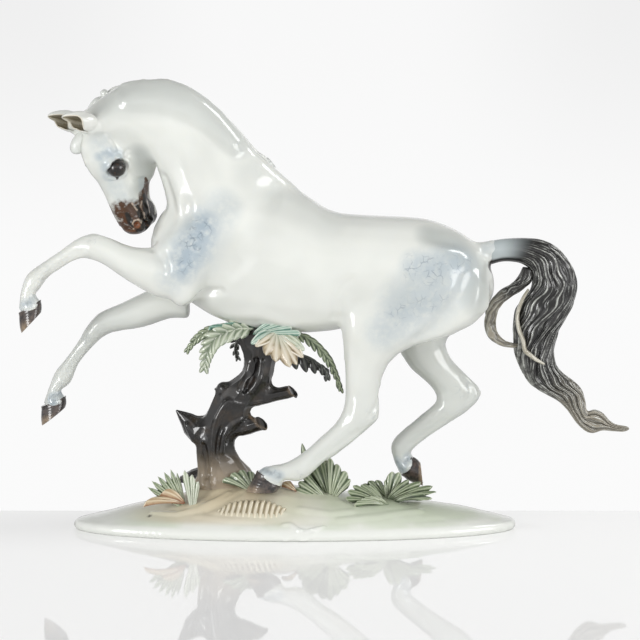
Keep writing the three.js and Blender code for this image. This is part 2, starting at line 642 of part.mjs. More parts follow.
// Plinth: outer wall, domed ground, recess under it inside the foot ring, vent and rim scroll
function plinthSolid(grow = 0) {
  const around = 40;
  const oval = (inset, z) => Array.from({ length: around }, (_, j) => {
    const turn = (2 * Math.PI * j) / around;
    const x = PLINTH_OFFSET + (PLINTH_LENGTH / 2 - inset) * Math.cos(turn);
    const y = (PLINTH_DEPTH / 2 - inset) * Math.sin(turn);
    return vector(x, y, z === null ? groundHeight(x, y) + grow : z);
  });
  const wall = [
    oval(1.2 - grow, 0),
    oval(-grow, RIM_HEIGHT * 0.35),
    oval(0.3 - grow, RIM_HEIGHT * 0.75),
    oval(1.4, null),
  ];
  const onTop = [0.92, 0.8, 0.62, 0.44, 0.26, 0.08].map((share) => (
    Array.from({ length: around }, (_, j) => {
      const turn = (2 * Math.PI * j) / around;
      const x = PLINTH_OFFSET + (PLINTH_LENGTH / 2) * share * Math.cos(turn);
      const y = (PLINTH_DEPTH / 2) * share * Math.sin(turn);
      return vector(x, y, groundHeight(x, y) + grow);
    })
  ));
  const block = solidOf(skin([...wall, ...onTop]));
  if (grow > 0) return block;
  const recess = solidOf(skin([
    oval(FOOT_RING_WIDTH, -1),
    oval(FOOT_RING_WIDTH, RECESS_DEPTH * 0.4),
    oval(FOOT_RING_WIDTH + RECESS_DEPTH, RECESS_DEPTH),
  ]));
  const boreLength = 2 * (RECESS_DEPTH + VENT_DEPTH);
  const bore = new THREE.CylinderGeometry(VENT_DIAMETER / 2, VENT_DIAMETER / 2, boreLength, 24);
  bore.rotateX(Math.PI / 2);
  bore.translate(stumpFoot[0], stumpFoot[1], 0);
  const scroll = [-1, 1].map((side) => {
    const curl = new THREE.TorusGeometry(SCROLL_LENGTH / 5, SCROLL_LENGTH / 16, 6, 16);
    curl.rotateX(radians(55));
    curl.translate(PLINTH_OFFSET + side * SCROLL_LENGTH * 0.28, -PLINTH_DEPTH / 2 + 2.4, RIM_HEIGHT * 0.8);
    return solidOf(curl);
  });
  return cutBy(joined(block, ...scroll), recess, solidOf(bore));
}

// Stump, drawn from its foot to the belly of the horse, left side first
const TRUNK_SECTIONS = [
  [-82, 12, -35, 12, 5, 19],
  [-77.5, 21, -39, 23, 5, 14.5],
  [-75, 30, -47, 33, 4, 11.5],
  [-76, 40, -52, 41.5, 3, 11],
  [-76, 50.5, -52, 50.5, 2, 11],
  [-72, 61.5, -46.5, 59.5, 1, 11],
  [-68.5, 69.5, -42.5, 71.5, 0, 10.5],
  [-65, 78.5, -37, 77.5, 0, 10],
  [-57, 85, -32, 83.5, 0, 10],
  [-49.5, 90, -30, 89.5, 0, 9],
  [-47.5, 98, -28.5, 96.5, 0, 8.5],
  [-49.5, 106, -25.5, 105, 0, 9],
  [-53, 113.5, -21.5, 113.5, 0, 10],
  [-54.5, 125, -20, 125, 0, 10],
];

// The stump reaches from inside the plinth to inside the belly, whatever their heights
function trunkCasting() {
  const top = onBody([0, DRAWN_TRUNK.top])[1];
  const foot = groundHeight(...stumpFoot) - 8;
  const rise = (top - foot) / (DRAWN_TRUNK.top - DRAWN_TRUNK.foot);
  const sections = TRUNK_SECTIONS.map(([ax, az, bx, bz, y, half]) => {
    const low = THREE.MathUtils.clamp((35 - az) / 23, 0, 1);
    const wide = mix(TRUNK_WIDTH / DRAWN_TRUNK.width, TRUNK_FOOT_WIDTH / DRAWN_TRUNK.footWidth, low);
    const middle = (ax + bx) / 2;
    const x = (value) => onBody([middle, 0])[0] + (value - middle) * wide;
    const z = (value) => foot + (value - DRAWN_TRUNK.foot) * rise;
    return [x(ax), z(az), x(bx), z(bz), y, half * wide];
  });
  return new Casting(sections, { sides: 16, rings: 18, flutes: 6, fluteDepth: 0.06, fluteTwist: 3 });
}
const trunk = trunkCasting();

// Branch that leaves the stump at t, from inside the shaft to its tip, or to a face sawn aslant
function branchSolid(t, turn, direction, length, radii, grow = 0, face = null) {
  const start = trunk.middle(t).lerp(trunk.point(t, radians(turn)), 0.35);
  const skinPoint = trunk.point(t, radians(turn));
  const heading = vector(...direction).normalize();
  const end = skinPoint.clone().addScaledVector(heading, length);
  const past = end.clone().addScaledVector(heading, face ? radii[3] : 0);
  const points = [start, skinPoint, skinPoint.clone().lerp(past, 0.5), past];
  const sizes = radii.map((radius) => [radius + grow, radius * 0.92 + grow]);
  const branch = strand(points, sizes, points.map(() => vector(0, 1, 0)), 10);
  if (!face) {
    return branch;
  }
  const normal = vector(...face).normalize();
  return branch.subtract(halfSpace(end.addScaledVector(normal, grow), normal));
}
const stubRadius = STUB_DIAMETER / 2;
const BRANCHES = {
  left_spike_branch: (grow) => (
    branchSolid(0.335, 8, [-0.74, -0.05, 0.66], SPIKE_LENGTH * 0.78, [10, 9, 5, 0.8], grow)
  ),
  knot_stub: (grow) => {
    const radius = KNOT_DIAMETER / 2;
    return branchSolid(0.56, -8, [-0.4, -0.3, 0.85], KNOT_DIAMETER * 0.1,
      [radius, radius, radius * 0.9, radius * 0.7], grow);
  },
  upper_right_stub: (grow) => (
    branchSolid(0.49, 180, [0.97, -0.05, 0.2], UPPER_STUB_LENGTH * 0.8,
      [stubRadius * 0.9, stubRadius * 0.95, stubRadius * 0.8, stubRadius * 0.78], grow, [0.75, -0.3, 0.6])
  ),
  lower_right_stub: (grow) => (
    branchSolid(0.355, 190, [0.9, -0.3, 0.26], LOWER_STUB_LENGTH * 0.8,
      [stubRadius * 1.1, stubRadius * 1.05, stubRadius * 0.9, stubRadius * 0.85], grow, [0.6, -0.5, 0.6])
  ),
  back_root: (grow) => branchSolid(0.09, 50, [-0.85, 0.5, -0.25], ROOT_LENGTH, [7, 6, 5, 2.5], grow),
};

// Turned axes of a leaf: along it, across it and out of its upper face
function leafAxes(heading, climb, roll) {
  const along = vector(1, 0, 0)
    .applyAxisAngle(vector(0, 1, 0), radians(-climb))
    .applyAxisAngle(vector(0, 0, 1), radians(heading));
  const level = vector(0, 0, 1).cross(along).normalize();
  const across = level.applyAxisAngle(along, radians(roll));
  return { along, across, out: along.clone().cross(across).normalize() };
}

// Feather leaf: a bent midrib with pointed lobes swept forward on both sides
function frond({ base, heading, climb, bend, roll = 0, length, width, lobes = 6, cup = 0.35 }, grow = 0) {
  const columns = lobes * 2;
  const place = base.clone();
  const rings = [];
  for (let i = 0; i <= columns; i += 1) {
    const t = i / columns;
    const { along, across, out } = leafAxes(heading, climb + bend * t, roll);
    if (i > 0) place.addScaledVector(along, length / columns);
    const isTip = i % 2 === 1;
    const outline = Math.sin(Math.PI * Math.min(1, 0.16 + t * 0.8)) ** 0.75;
    const half = (width / 2) * outline * (isTip ? 1 : 0.62) + grow;
    const thick = (LEAF_THICKNESS / 2) * (isTip ? 1 : 0.8) + grow;
    const edge = (side, share, level) => place.clone()
      .addScaledVector(across, side * half * share)
      .addScaledVector(along, half * 0.55 * share * (isTip ? 1 : 0.75))
      .addScaledVector(out, level * thick * (1 - 0.45 * share) - cup * half * share * share);
    const upper = [edge(-1, 1, 1), edge(0, 0, 1.2), edge(1, 1, 1)];
    const lower = [edge(1, 1, -1), edge(0, 0, -1), edge(-1, 1, -1)];
    rings.push([...upper, ...lower]);
  }
  return solidOf(skin(rings));
}

// Palm leaf: rounded lobes spread like a fan from its stalk
function fan({ base, heading, climb, roll = 0, radius, spread, lobes = 7, droop = 0.3 }, grow = 0) {
  const { along, across, out } = leafAxes(heading, climb, roll);
  const columns = lobes * 2;
  const shares = [0.08, 0.45, 0.8, 1];
  const rings = [];
  for (let i = 0; i <= columns; i += 1) {
    const turn = radians(mix(-spread / 2, spread / 2, i / columns));
    const isTip = i % 2 === 1;
    const reach = radius * (0.72 + 0.28 * Math.cos(turn)) * (isTip ? 1 : 0.84) + grow;
    const thick = (LEAF_THICKNESS / 2) * (isTip ? 1.1 : 0.7) + grow;
    const pleat = isTip ? 0.35 : -0.35;
    const at = (share, level) => {
      const r = reach * share;
      return base.clone()
        .addScaledVector(along, r * Math.cos(turn))
        .addScaledVector(across, r * Math.sin(turn))
        .addScaledVector(out, level * thick * (1 - 0.4 * share) + (pleat - droop * r) * share);
    };
    rings.push([...shares.map((share) => at(share, 1)), ...shares.map((share) => at(share, -1)).reverse()]);
  }
  return solidOf(skin(rings));
}

// Place on the ground of the plinth, from a point of the drawing
function onGround([x, y], lift = 0) {
  const placeX = onBody([x, 0])[0];
  return vector(placeX, y, groundHeight(placeX, y) + lift);
}

// Height of the belly over a point of the table
function bellyHeight(x, y) {
  let low = 0;
  let high = 1;
  for (let i = 0; i < 16; i += 1) {
    const t = (low + high) / 2;
    if (barrel.middle(t).x < x) low = t;
    else high = t;
  }
  const middle = barrel.middle(low);
  const reach = middle.distanceTo(barrel.rear.getPoint(low));
  return middle.z - reach * Math.sqrt(Math.max(0, 1 - (y / barrel.girth.getPoint(low).x) ** 2));
}

// Place under the belly of the horse, where the crown of the stump spreads
function underBelly([x, y], drop = 0) {
  const placeX = onBody([x, 0])[0];
  return vector(placeX, y, bellyHeight(placeX, y) - drop);
}

// Leaves of the crown, round the top of the stump
const CROWN_LEAVES = {
  crown_frond_front_left: (grow) => frond({
    base: underBelly([-45, -9], 1.5), heading: 196, climb: 16, bend: -112, roll: -42,
    length: CROWN_FROND_LENGTH, width: CROWN_FROND_WIDTH, lobes: 7,
  }, grow),
  crown_frond_left: (grow) => frond({
    base: underBelly([-48, 0], 2), heading: 181, climb: 8, bend: -62, roll: -20,
    length: CROWN_FROND_LENGTH * 0.9, width: CROWN_FROND_WIDTH * 0.75, lobes: 6,
  }, grow),
  crown_frond_back_left: (grow) => frond({
    base: underBelly([-42, 9], 2), heading: 136, climb: 4, bend: -88,
    length: CROWN_FROND_LENGTH * 0.8, width: CROWN_FROND_WIDTH * 0.85, lobes: 6,
  }, grow),
  crown_fan_front: (grow) => fan({
    base: underBelly([-30, -11], 0.5), heading: -52, climb: -38,
    radius: CROWN_FAN_RADIUS, spread: 150, lobes: 7,
  }, grow),
  crown_frond_right: (grow) => frond({
    base: underBelly([-26, -5], 2.5), heading: -10, climb: 0, bend: -68, roll: 28,
    length: CROWN_FROND_LENGTH * 1.18, width: CROWN_FROND_WIDTH * 0.75, lobes: 7,
  }, grow),
  crown_frond_back_right: (grow) => frond({
    base: underBelly([-30, 5], 4), heading: 28, climb: -14, bend: -52, roll: 15,
    length: CROWN_FROND_LENGTH * 0.9, width: CROWN_FROND_WIDTH * 0.85, lobes: 6,
  }, grow),
};

// Leaves that grow from the ground
const ground = { length: GROUND_LEAF_LENGTH, width: GROUND_LEAF_WIDTH, lobes: 5 };
const GROUND_LEAVES = {
  ground_fan_left: (grow) => fan({
    base: onGround([-77, -17], 0), heading: 186, climb: 32, roll: -68,
    radius: GROUND_LEAF_LENGTH, spread: 92, lobes: 6, droop: 0.12,
  }, grow),
  ground_leaf_left_broad: (grow) => frond({
    base: onGround([-73, -19], 0), heading: 172, climb: 80, bend: 24, roll: -84, ...ground,
    length: GROUND_LEAF_LENGTH * 0.75, lobes: 3,
  }, grow),
  ground_leaf_left_low: (grow) => frond({
    base: onGround([-82, -22], 2), heading: 184, climb: 10, bend: -34, roll: -30, ...ground, lobes: 4,
  }, grow),
  ground_leaf_behind_hoof: (grow) => frond({
    base: onGround([-44, -10], 0), heading: 184, climb: 56, bend: -96, roll: -60, ...ground,
    width: GROUND_LEAF_WIDTH * 1.1,
  }, grow),
  ground_shell_leaf: (grow) => frond({
    base: onGround([-64, -25], 1.4), heading: -2, climb: 8, bend: -14, roll: 22,
    length: SHELL_LEAF_LENGTH, width: SHELL_LEAF_WIDTH * 0.75, lobes: 9, cup: 0.12,
  }, grow),
  ground_fan_middle: (grow) => fan({
    base: onGround([3, -8], 0), heading: 100, climb: 80,
    radius: GROUND_FAN_RADIUS, spread: 165, lobes: 9, droop: 0.12,
  }, grow),
  ground_leaf_middle_tall: (grow) => frond({
    base: onGround([-3, 6], 0), heading: 178, climb: 78, bend: 28, roll: -70, ...ground,
    length: GROUND_LEAF_LENGTH * 1.35, width: GROUND_LEAF_WIDTH * 0.6,
  }, grow),
  ground_leaf_heel: (grow) => frond({
    base: onGround([-14, -12], 1.4), heading: 182, climb: 14, bend: -40, roll: -30, ...ground,
    length: GROUND_LEAF_LENGTH * 0.6, width: GROUND_LEAF_WIDTH * 0.7, lobes: 3,
  }, grow),
  ground_leaf_front_fern: (grow) => frond({
    base: onGround([16, -16], 1.4), heading: 2, climb: 16, bend: -34, roll: 40, ...ground,
  }, grow),
  ground_leaf_right_upright: (grow) => frond({
    base: onGround([37, -2], 0), heading: 14, climb: 74, bend: -20, roll: 80, ...ground,
    length: GROUND_LEAF_LENGTH * 0.72, lobes: 2,
  }, grow),
  ground_leaf_right_left: (grow) => frond({
    base: onGround([37, 3], 1), heading: 178, climb: 40, bend: -56, roll: -50, ...ground,
    length: GROUND_LEAF_LENGTH * 0.9, lobes: 3,
  }, grow),
  ground_leaf_right_long: (grow) => frond({
    base: onGround([40, -5], 1.4), heading: -2, climb: 32, bend: -44, roll: 44, ...ground,
    length: GROUND_LEAF_LENGTH * 1.25, lobes: 3,
  }, grow),
  ground_leaf_right_low: (grow) => frond({
    base: onGround([44, -12], 1.2), heading: -4, climb: 12, bend: -26, roll: 30, ...ground,
    length: GROUND_LEAF_LENGTH * 0.95, width: GROUND_LEAF_WIDTH * 0.7, lobes: 3,
  }, grow),
};

// Colours of the fired glazes
const COLOURS = {
  white: ['#eef0ec', 0.12],
  grey: ['#8f8f8a', 0.2],
  tail: ['#2b2624', 0.2],
  bark: ['#2a2422', 0.15],
  leaf: ['#7f9576', 0.3],
  cream: ['#d9cbb0', 0.3],
  ground: ['#dfe2d0', 0.2],
};

const figurine = new THREE.Group();

// Adds a casting as a mesh, cut back by what it touches
function addPiece(name, solid, colour) {
  const body = largestOf(solid);
  const [shade, roughness] = COLOURS[colour];
  const material = new THREE.MeshStandardMaterial({ color: shade, roughness, metalness: 0 });
  const mesh = new THREE.Mesh(geometryOf(body), material);
  mesh.name = name;
  figurine.add(mesh);
}

const horseAround = bodySolid(CLEARANCE);
const headAround = headSolid(CLEARANCE);
const leftHindAround = leftHindLeg.solid(CLEARANCE);
const rightHindAround = rightHindLeg.solid(CLEARANCE);

addPiece('horse_body', bodySolid(), 'white');
addPiece('head', headSolid(), 'white');
Object.entries(SIDES).forEach(([side, sign]) => {
  addPiece(`${side}_ear`, cutBy(earSolid(sign), headAround, horseAround), 'grey');
});
addPiece('mane', cutBy(maneSolid(), headAround, horseAround), 'white');
addPiece('forelock', cutBy(forelockSolid(), headAround, horseAround, earSolid(-1), earSolid(1)), 'white');
addPiece('left_foreleg', beyond(leftForeleg.solid(), SEAMS.leftForeleg), 'white');
addPiece('right_foreleg', beyond(rightForeleg.solid(), SEAMS.rightForeleg), 'white');
addPiece('left_hind_leg', beyond(leftHindLeg.solid(), SEAMS.leftHindLeg), 'white');
addPiece('right_hind_leg', beyond(rightHindLeg.solid(), SEAMS.rightHindLeg), 'white');
addPiece('tail', cutBy(beyond(tail.solid(), SEAMS.tail), horseAround), 'tail');
addPiece('tail_side_lock', cutBy(sideLock.solid(), tail.solid(CLEARANCE), horseAround), 'tail');

const plinthAround = plinthSolid(CLEARANCE);
const trunkAround = trunk.solid(CLEARANCE);
addPiece('plinth', cutBy(plinthSolid(), leftHindAround, rightHindAround), 'ground');
addPiece('tree_trunk', cutBy(trunk.solid(), plinthAround, horseAround), 'bark');
const stumpAround = [trunkAround];
Object.entries(BRANCHES).forEach(([name, build]) => {
  addPiece(name, cutBy(build(0), ...stumpAround, horseAround), 'bark');
  stumpAround.push(build(CLEARANCE));
});

const leafNeighbours = [plinthAround, horseAround, leftHindAround, rightHindAround, ...stumpAround];
Object.entries(CROWN_LEAVES).forEach(([name, build]) => {
  addPiece(name, cutBy(build(0), ...leafNeighbours), 'leaf');
  leafNeighbours.push(build(CLEARANCE));
});
Object.entries(GROUND_LEAVES).forEach(([name, build]) => {
  addPiece(name, cutBy(build(0), ...leafNeighbours), name.includes('shell') ? 'cream' : 'leaf');
  leafNeighbours.push(build(CLEARANCE));
});

// The origin lies on the table under the middle of the figurine
const extent = new THREE.Box3().setFromObject(figurine);
const middle = extent.getCenter(vector(0, 0, 0));
figurine.position.set(-middle.x, -middle.y, -extent.min.z);

export default figurine;
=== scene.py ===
"""Looks of a glazed porcelain figurine: a cantering horse carried by a stump with palm leaves.

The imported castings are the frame. Sizes in this file are millimetres in the frame's axes and are
turned into metres once, when a piece is finished. Places on the side that the photograph shows
are given as pixels of the 640 x 640 photograph, and are cast onto the surface that they lie on.
"""

import logging
import math
from dataclasses import dataclass, field
from enum import Enum
from typing import Callable, Optional, Sequence

import bmesh
import bpy
import numpy as np
from bpy.types import Material, Mesh, Node, NodeSocket, NodeTree, Object
from mathutils import Matrix, Vector
from mathutils.bvhtree import BVHTree


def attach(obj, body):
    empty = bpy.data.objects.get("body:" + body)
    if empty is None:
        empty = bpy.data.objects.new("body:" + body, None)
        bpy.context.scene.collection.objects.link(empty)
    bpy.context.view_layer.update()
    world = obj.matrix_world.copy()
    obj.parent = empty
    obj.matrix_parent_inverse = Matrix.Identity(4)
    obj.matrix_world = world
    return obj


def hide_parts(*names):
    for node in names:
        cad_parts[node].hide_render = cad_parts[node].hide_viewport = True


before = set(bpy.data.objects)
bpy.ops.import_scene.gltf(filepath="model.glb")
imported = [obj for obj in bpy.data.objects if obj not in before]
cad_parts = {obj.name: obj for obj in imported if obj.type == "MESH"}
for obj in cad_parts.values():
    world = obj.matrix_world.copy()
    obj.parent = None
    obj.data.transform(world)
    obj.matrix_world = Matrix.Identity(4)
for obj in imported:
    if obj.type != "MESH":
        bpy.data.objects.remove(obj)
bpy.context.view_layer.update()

LOG = logging.getLogger("figurine")
MM = 0.001
BODY = "root"
Pixel = tuple[float, float]
Triple = tuple[float, float, float]
Surface = tuple[np.ndarray, dict[str, np.ndarray]]


class Side(Enum):
    """Sides of the horse. The photograph shows the left one."""

    LEFT = -1
    RIGHT = 1


def smooth_step(value: np.ndarray) -> np.ndarray:
    """Eases a share from 0 to 1, and holds it outside that range.

    Args:
        value: Shares, of any shape.

    Returns:
        The eased shares.
    """
    held = np.clip(value, 0.0, 1.0)
    return held * held * (3.0 - 2.0 * held)


def unit(vector: Sequence[float]) -> np.ndarray:
    """Returns the vector at length one."""
    array = np.asarray(vector, float)
    return array / np.linalg.norm(array)


@dataclass(frozen=True)
class PhotoCamera:
    """The photograph's camera: a long lens a little above the table.

    Args:
        target: Point in the middle of the picture.
        distance: From the lens to that point.
        elevation: Degrees above level.
        pixel: Size of a photograph pixel at the target.
        picture: Width of the photograph in pixels.
        sensor: Width of the sensor.
    """

    target: Triple = (-4.14, 0.39, 124.0)
    distance: float = 1600.0
    elevation: float = 7.0
    pixel: float = 0.587
    picture: int = 640
    sensor: float = 36.0

    @property
    def up(self) -> np.ndarray:
        """Up direction of the picture."""
        tilt = math.radians(self.elevation)
        return np.array((0.0, math.sin(tilt), math.cos(tilt)))

    @property
    def view(self) -> np.ndarray:
        """Direction that the camera looks in."""
        tilt = math.radians(self.elevation)
        return np.array((0.0, math.cos(tilt), -math.sin(tilt)))

    @property
    def place(self) -> np.ndarray:
        """Place of the lens."""
        return np.array(self.target) - self.view * self.distance

    def ray(self, spot: Pixel) -> tuple[Vector, Vector]:
        """Ray through a pixel.

        Args:
            spot: Pixel, right and down from the top left corner.

        Returns:
            Start and direction, in millimetres.
        """
        centre = self.picture / 2
        scale = self.pixel / self.distance
        across = (spot[0] - centre) * scale
        above = (centre - spot[1]) * scale
        direction = self.view + across * np.array((1.0, 0.0, 0.0)) + above * self.up
        return Vector(self.place), Vector(unit(direction))

    def install(self) -> Object:
        """Makes the camera of the scene and returns it."""
        data = bpy.data.cameras.new("photo_camera")
        data.sensor_width = self.sensor
        data.lens = self.sensor * self.distance / (self.picture * self.pixel)
        data.clip_start = 0.05
        data.clip_end = 300.0
        camera = bpy.data.objects.new("photo_camera", data)
        camera.location = Vector(self.place) * MM
        camera.rotation_euler = (math.radians(90.0 - self.elevation), 0.0, 0.0)
        bpy.context.scene.collection.objects.link(camera)
        bpy.context.scene.camera = camera
        return camera


CAMERA = PhotoCamera()


def at_depth(spot: Pixel, depth: float) -> np.ndarray:
    """Point behind a pixel at a distance from the middle of the figurine, front to back."""
    start, direction = CAMERA.ray(spot)
    return np.array(start + direction * ((depth - start.y) / direction.y))


def points_at(places: Sequence[Triple]) -> np.ndarray:
    """Points for several places, each given as a pixel and its depth."""
    return np.array([at_depth((across, down), depth) for across, down, depth in places])


@dataclass(frozen=True)
class Lump:
    """Ball of clay pressed onto the castings before the skin is pulled over them.

    Args:
        centre: Its middle.
        radii: Its radii along the axes.
        axes: Directions of the radii, the frame's own unless given.
    """

    centre: np.ndarray
    radii: Triple
    axes: tuple[np.ndarray, ...] = (np.array((1.0, 0, 0)), np.array((0, 1.0, 0)), np.array((0, 0, 1.0)))

    def add_to(self, bm: bmesh.types.BMesh) -> None:
        """Adds the ball to a mesh, in metres."""
        columns = [axis * radius * MM for axis, radius in zip(self.axes, self.radii)]
        turn = Matrix([[*(column[row] for column in columns), self.centre[row] * MM] for row in range(3)]
                      + [[0.0, 0.0, 0.0, 1.0]])
        bmesh.ops.create_icosphere(bm, subdivisions=4, radius=1.0, matrix=turn)


def per_spot(radius: float | tuple[float, ...], count: int) -> np.ndarray:
    """One reach for each of several spots."""
    return np.array(radius if isinstance(radius, tuple) else (radius,) * count, float)


@dataclass(frozen=True)
class Stroke:
    """A pass of the modelling tool along the side that the photograph shows.

    Args:
        spots: Pixels that the tool runs through.
        radius: Reach of the tool, or one reach for each spot.
        height: Clay added, or taken off if negative.
        sharpness: Above 1 the pass is narrower at its top.
        both: Whether the other side of the horse gets it as well.
        sideways: Whether the clay goes straight out to the side, which leaves the outline alone.
    """

    spots: tuple[Pixel, ...]
    radius: float | tuple[float, ...]
    height: float
    sharpness: float = 2.0
    both: bool = True
    sideways: bool = False

    def radii(self) -> np.ndarray:
        """Reach at each spot."""
        return per_spot(self.radius, len(self.spots))


Swell = Callable[[np.ndarray], np.ndarray]


class Clay:
    """A closed skin that is worked by hand: remeshed from castings, relaxed, raised and cut.

    Where the castings are grown before the skin is pulled over them and it is drawn back
    afterwards, the hollows between them fill with soft fillets.

    Args:
        name: Name of the piece.
        castings: CAD nodes that the skin is pulled over.
        voxel: Size of a face.
        swell: How far the castings are grown first, for each point.
        lumps: Clay added to them.
    """

    NORMAL_ROUNDS = 6
    DRAW_ROUNDS = 8
    MELT_STEP = 0.5

    def __init__(self, name: str, castings: Sequence[str], voxel: float, swell: Swell,
                 lumps: Sequence[Lump] = ()) -> None:
        lump = self._joined(castings, swell, lumps)
        source = bpy.data.objects.new(f"{name}_lump", lump)
        bpy.context.scene.collection.objects.link(source)
        remesh = source.modifiers.new("remesh", "REMESH")
        remesh.mode = "VOXEL"
        remesh.voxel_size = voxel * MM
        graph = bpy.context.evaluated_depsgraph_get()
        self.mesh = bpy.data.meshes.new_from_object(source.evaluated_get(graph))
        self.mesh.name = name
        bpy.data.objects.remove(source)
        bpy.data.meshes.remove(lump)
        self._read()
        self._draw_back(swell)

    @staticmethod
    def _joined(castings: Sequence[str], swell: Swell, lumps: Sequence[Lump]) -> Mesh:
        """Grows copies of the castings and the lumps, and puts them into one mesh.

        Args:
            castings: CAD nodes.
            swell: How far each point is grown.
            lumps: Clay added to them.

        Returns:
            The mesh in metres.
        """
        whole = bmesh.new()

        def add(part: bmesh.types.BMesh) -> None:
            """Grows a part and adds it to the whole."""
            part.normal_update()
            amounts = swell(np.array([vert.co for vert in part.verts]) / MM)
            for vert, amount in zip(part.verts, amounts):
                vert.co += vert.normal * float(amount) * MM
            copy = bpy.data.meshes.new("copy")
            part.to_mesh(copy)
            part.free()
            whole.from_mesh(copy)
            bpy.data.meshes.remove(copy)

        for node in castings:
            part = bmesh.new()
            part.from_mesh(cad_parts[node].data)
            bmesh.ops.remove_doubles(part, verts=part.verts, dist=1e-6)
            add(part)
        for lump in lumps:
            part = bmesh.new()
            lump.add_to(part)
            add(part)
        mesh = bpy.data.meshes.new("lump")
        whole.to_mesh(mesh)
        whole.free()
        return mesh

    def _draw_back(self, swell: Swell) -> None:
        """Takes the growth off again along softened normals."""
        normals = self.normals
        for _ in range(self.NORMAL_ROUNDS):
            normals += self.MELT_STEP * self._umbrella(normals)
        normals /= np.linalg.norm(normals, axis=1)[:, None]
        swollen = self.points.copy()
        for _ in range(self.DRAW_ROUNDS):
            self.points = swollen - normals * swell(self.points)[:, None]
        self.write()

    def _read(self) -> None:
        """Takes the points and the edges of the mesh into arrays."""
        count = len(self.mesh.vertices)
        points = np.empty(count * 3, np.float32)
        self.mesh.vertices.foreach_get("co", points)
        self.points = points.reshape(-1, 3).astype(float) / MM
        edges = np.empty(len(self.mesh.edges) * 2, np.int32)
        self.mesh.edges.foreach_get("vertices", edges)
        self.edges = edges.reshape(-1, 2)
        self.degree = np.bincount(self.edges.ravel(), minlength=count).astype(float)
        self.tints: dict[str, np.ndarray] = {}
        self._tree: Optional[BVHTree] = None

    def write(self) -> None:
        """Puts the points back into the mesh."""
        self.mesh.vertices.foreach_set("co", (self.points * MM).astype(np.float32).ravel())
        self.mesh.update()
        self._tree = None

    @property
    def normals(self) -> np.ndarray:
        """Outward normals at the points."""
        self.write()
        normals = np.empty(len(self.points) * 3, np.float32)
        self.mesh.vertex_normals.foreach_get("vector", normals)
        return normals.reshape(-1, 3).astype(float)

    @property
    def tree(self) -> BVHTree:
        """Search tree of the skin, in millimetres."""
        if self._tree is None:
            faces = [tuple(face.vertices) for face in self.mesh.polygons]
            self._tree = BVHTree.FromPolygons([Vector(point) for point in self.points], faces)
        return self._tree

    def refine(self, region: np.ndarray) -> None:
        """Splits each face of a region in four.

        Args:
            region: Which points lie in it.
        """
        self.write()
        bm = bmesh.new()
        bm.from_mesh(self.mesh)
        bm.verts.ensure_lookup_table()
        inside = [edge for edge in bm.edges if all(region[vert.index] for vert in edge.verts)]
        bmesh.ops.subdivide_edges(bm, edges=inside, cuts=1, use_grid_fill=True)
        bm.to_mesh(self.mesh)
        bm.free()
        self._read()

    def _umbrella(self, values: np.ndarray) -> np.ndarray:
        """Step from each point to the middle of its neighbours.

        Args:
            values: One row for each point.

        Returns:
            The steps, one row for each point.
        """
        first, second = self.edges.T
        count = len(values)
        total = np.empty_like(values)
        for axis, column in enumerate(values.T):
            total[:, axis] = (np.bincount(first, column[second], count)
                              + np.bincount(second, column[first], count))
        return total / self.degree[:, None] - values

    def relax(self, rounds: int, weight: Optional[np.ndarray] = None, step: float = 0.4) -> None:
        """Smooths the skin without drawing its forms in.

        Args:
            rounds: Number of passes.
            weight: Share of the smoothing that each point takes.
            step: Strength of a pass.
        """
        share = step if weight is None else step * weight[:, None]
        for _ in range(rounds):
            self.points -= share * self._umbrella(self._umbrella(self.points))

    def melt(self, rounds: int, weight: Optional[np.ndarray] = None) -> None:
        """Smooths the skin as a thick glaze does, which softens and slightly fills small forms.

        Args:
            rounds: Number of passes.
            weight: Share of the smoothing that each point takes.
        """
        share = self.MELT_STEP if weight is None else self.MELT_STEP * weight[:, None]
        for _ in range(rounds):
            self.points += share * self._umbrella(self.points)

    def cast(self, spot: Pixel) -> Vector:
        """Point of the skin behind a pixel of the photograph.

        Args:
            spot: Pixel.

        Returns:
            The point, or the nearest one of the skin if the pixel misses it.
        """
        start, direction = CAMERA.ray(spot)
        hit = self.tree.ray_cast(start, direction)[0]
        if hit is None:
            along = (Vector(CAMERA.target) - start).dot(direction)
            hit = self.tree.find_nearest(start + direction * along)[0]
        return hit

    def trace(self, spots: Sequence[Pixel]) -> np.ndarray:
        """Points of the skin behind several pixels."""
        return np.array([self.cast(spot) for spot in spots])

    def reach(self, path: np.ndarray, radii: np.ndarray) -> np.ndarray:
        """How much each point lies within a rope laid along a path.

        Args:
            path: Points of the path.
            radii: Radius of the rope at each of them.

        Returns:
            Shares: 1 on the path and 0 from its radius outwards.
        """
        inside = np.zeros(len(self.points))
        widest = radii.max()
        low, high = path.min(0) - widest, path.max(0) + widest
        near = np.flatnonzero(np.all((self.points > low) & (self.points < high), axis=1))
        spots = self.points[near]
        best = np.zeros(len(near))
        legs = [(path[0], path[0], radii[0], radii[0])] if len(path) == 1 else list(
            zip(path[:-1], path[1:], radii[:-1], radii[1:]))
        for start, end, first, last in legs:
            leg = end - start
            length = max(float(leg @ leg), 1e-9)
            along = np.clip((spots - start) @ leg / length, 0.0, 1.0)
            distance = np.linalg.norm(spots - start - along[:, None] * leg, axis=1)
            share = np.clip(1.0 - (distance / (first + along * (last - first))) ** 2, 0.0, 1.0)
            best = np.maximum(best, share)
        inside[near] = best
        return inside

    def raise_by(self, amount: np.ndarray, direction: Optional[np.ndarray] = None) -> None:
        """Moves the points out by an amount, along their normals unless a direction is given."""
        self.points += amount[:, None] * (self.normals if direction is None else direction)
        self.write()

    def carve(self, strokes: Sequence[Stroke]) -> None:
        """Adds and takes off clay along strokes of the near side."""
        amount = np.zeros(len(self.points))
        for stroke in strokes:
            amount += stroke.height * self.reach(self.trace(stroke.spots), stroke.radii()) ** stroke.sharpness
        self.raise_by(amount)

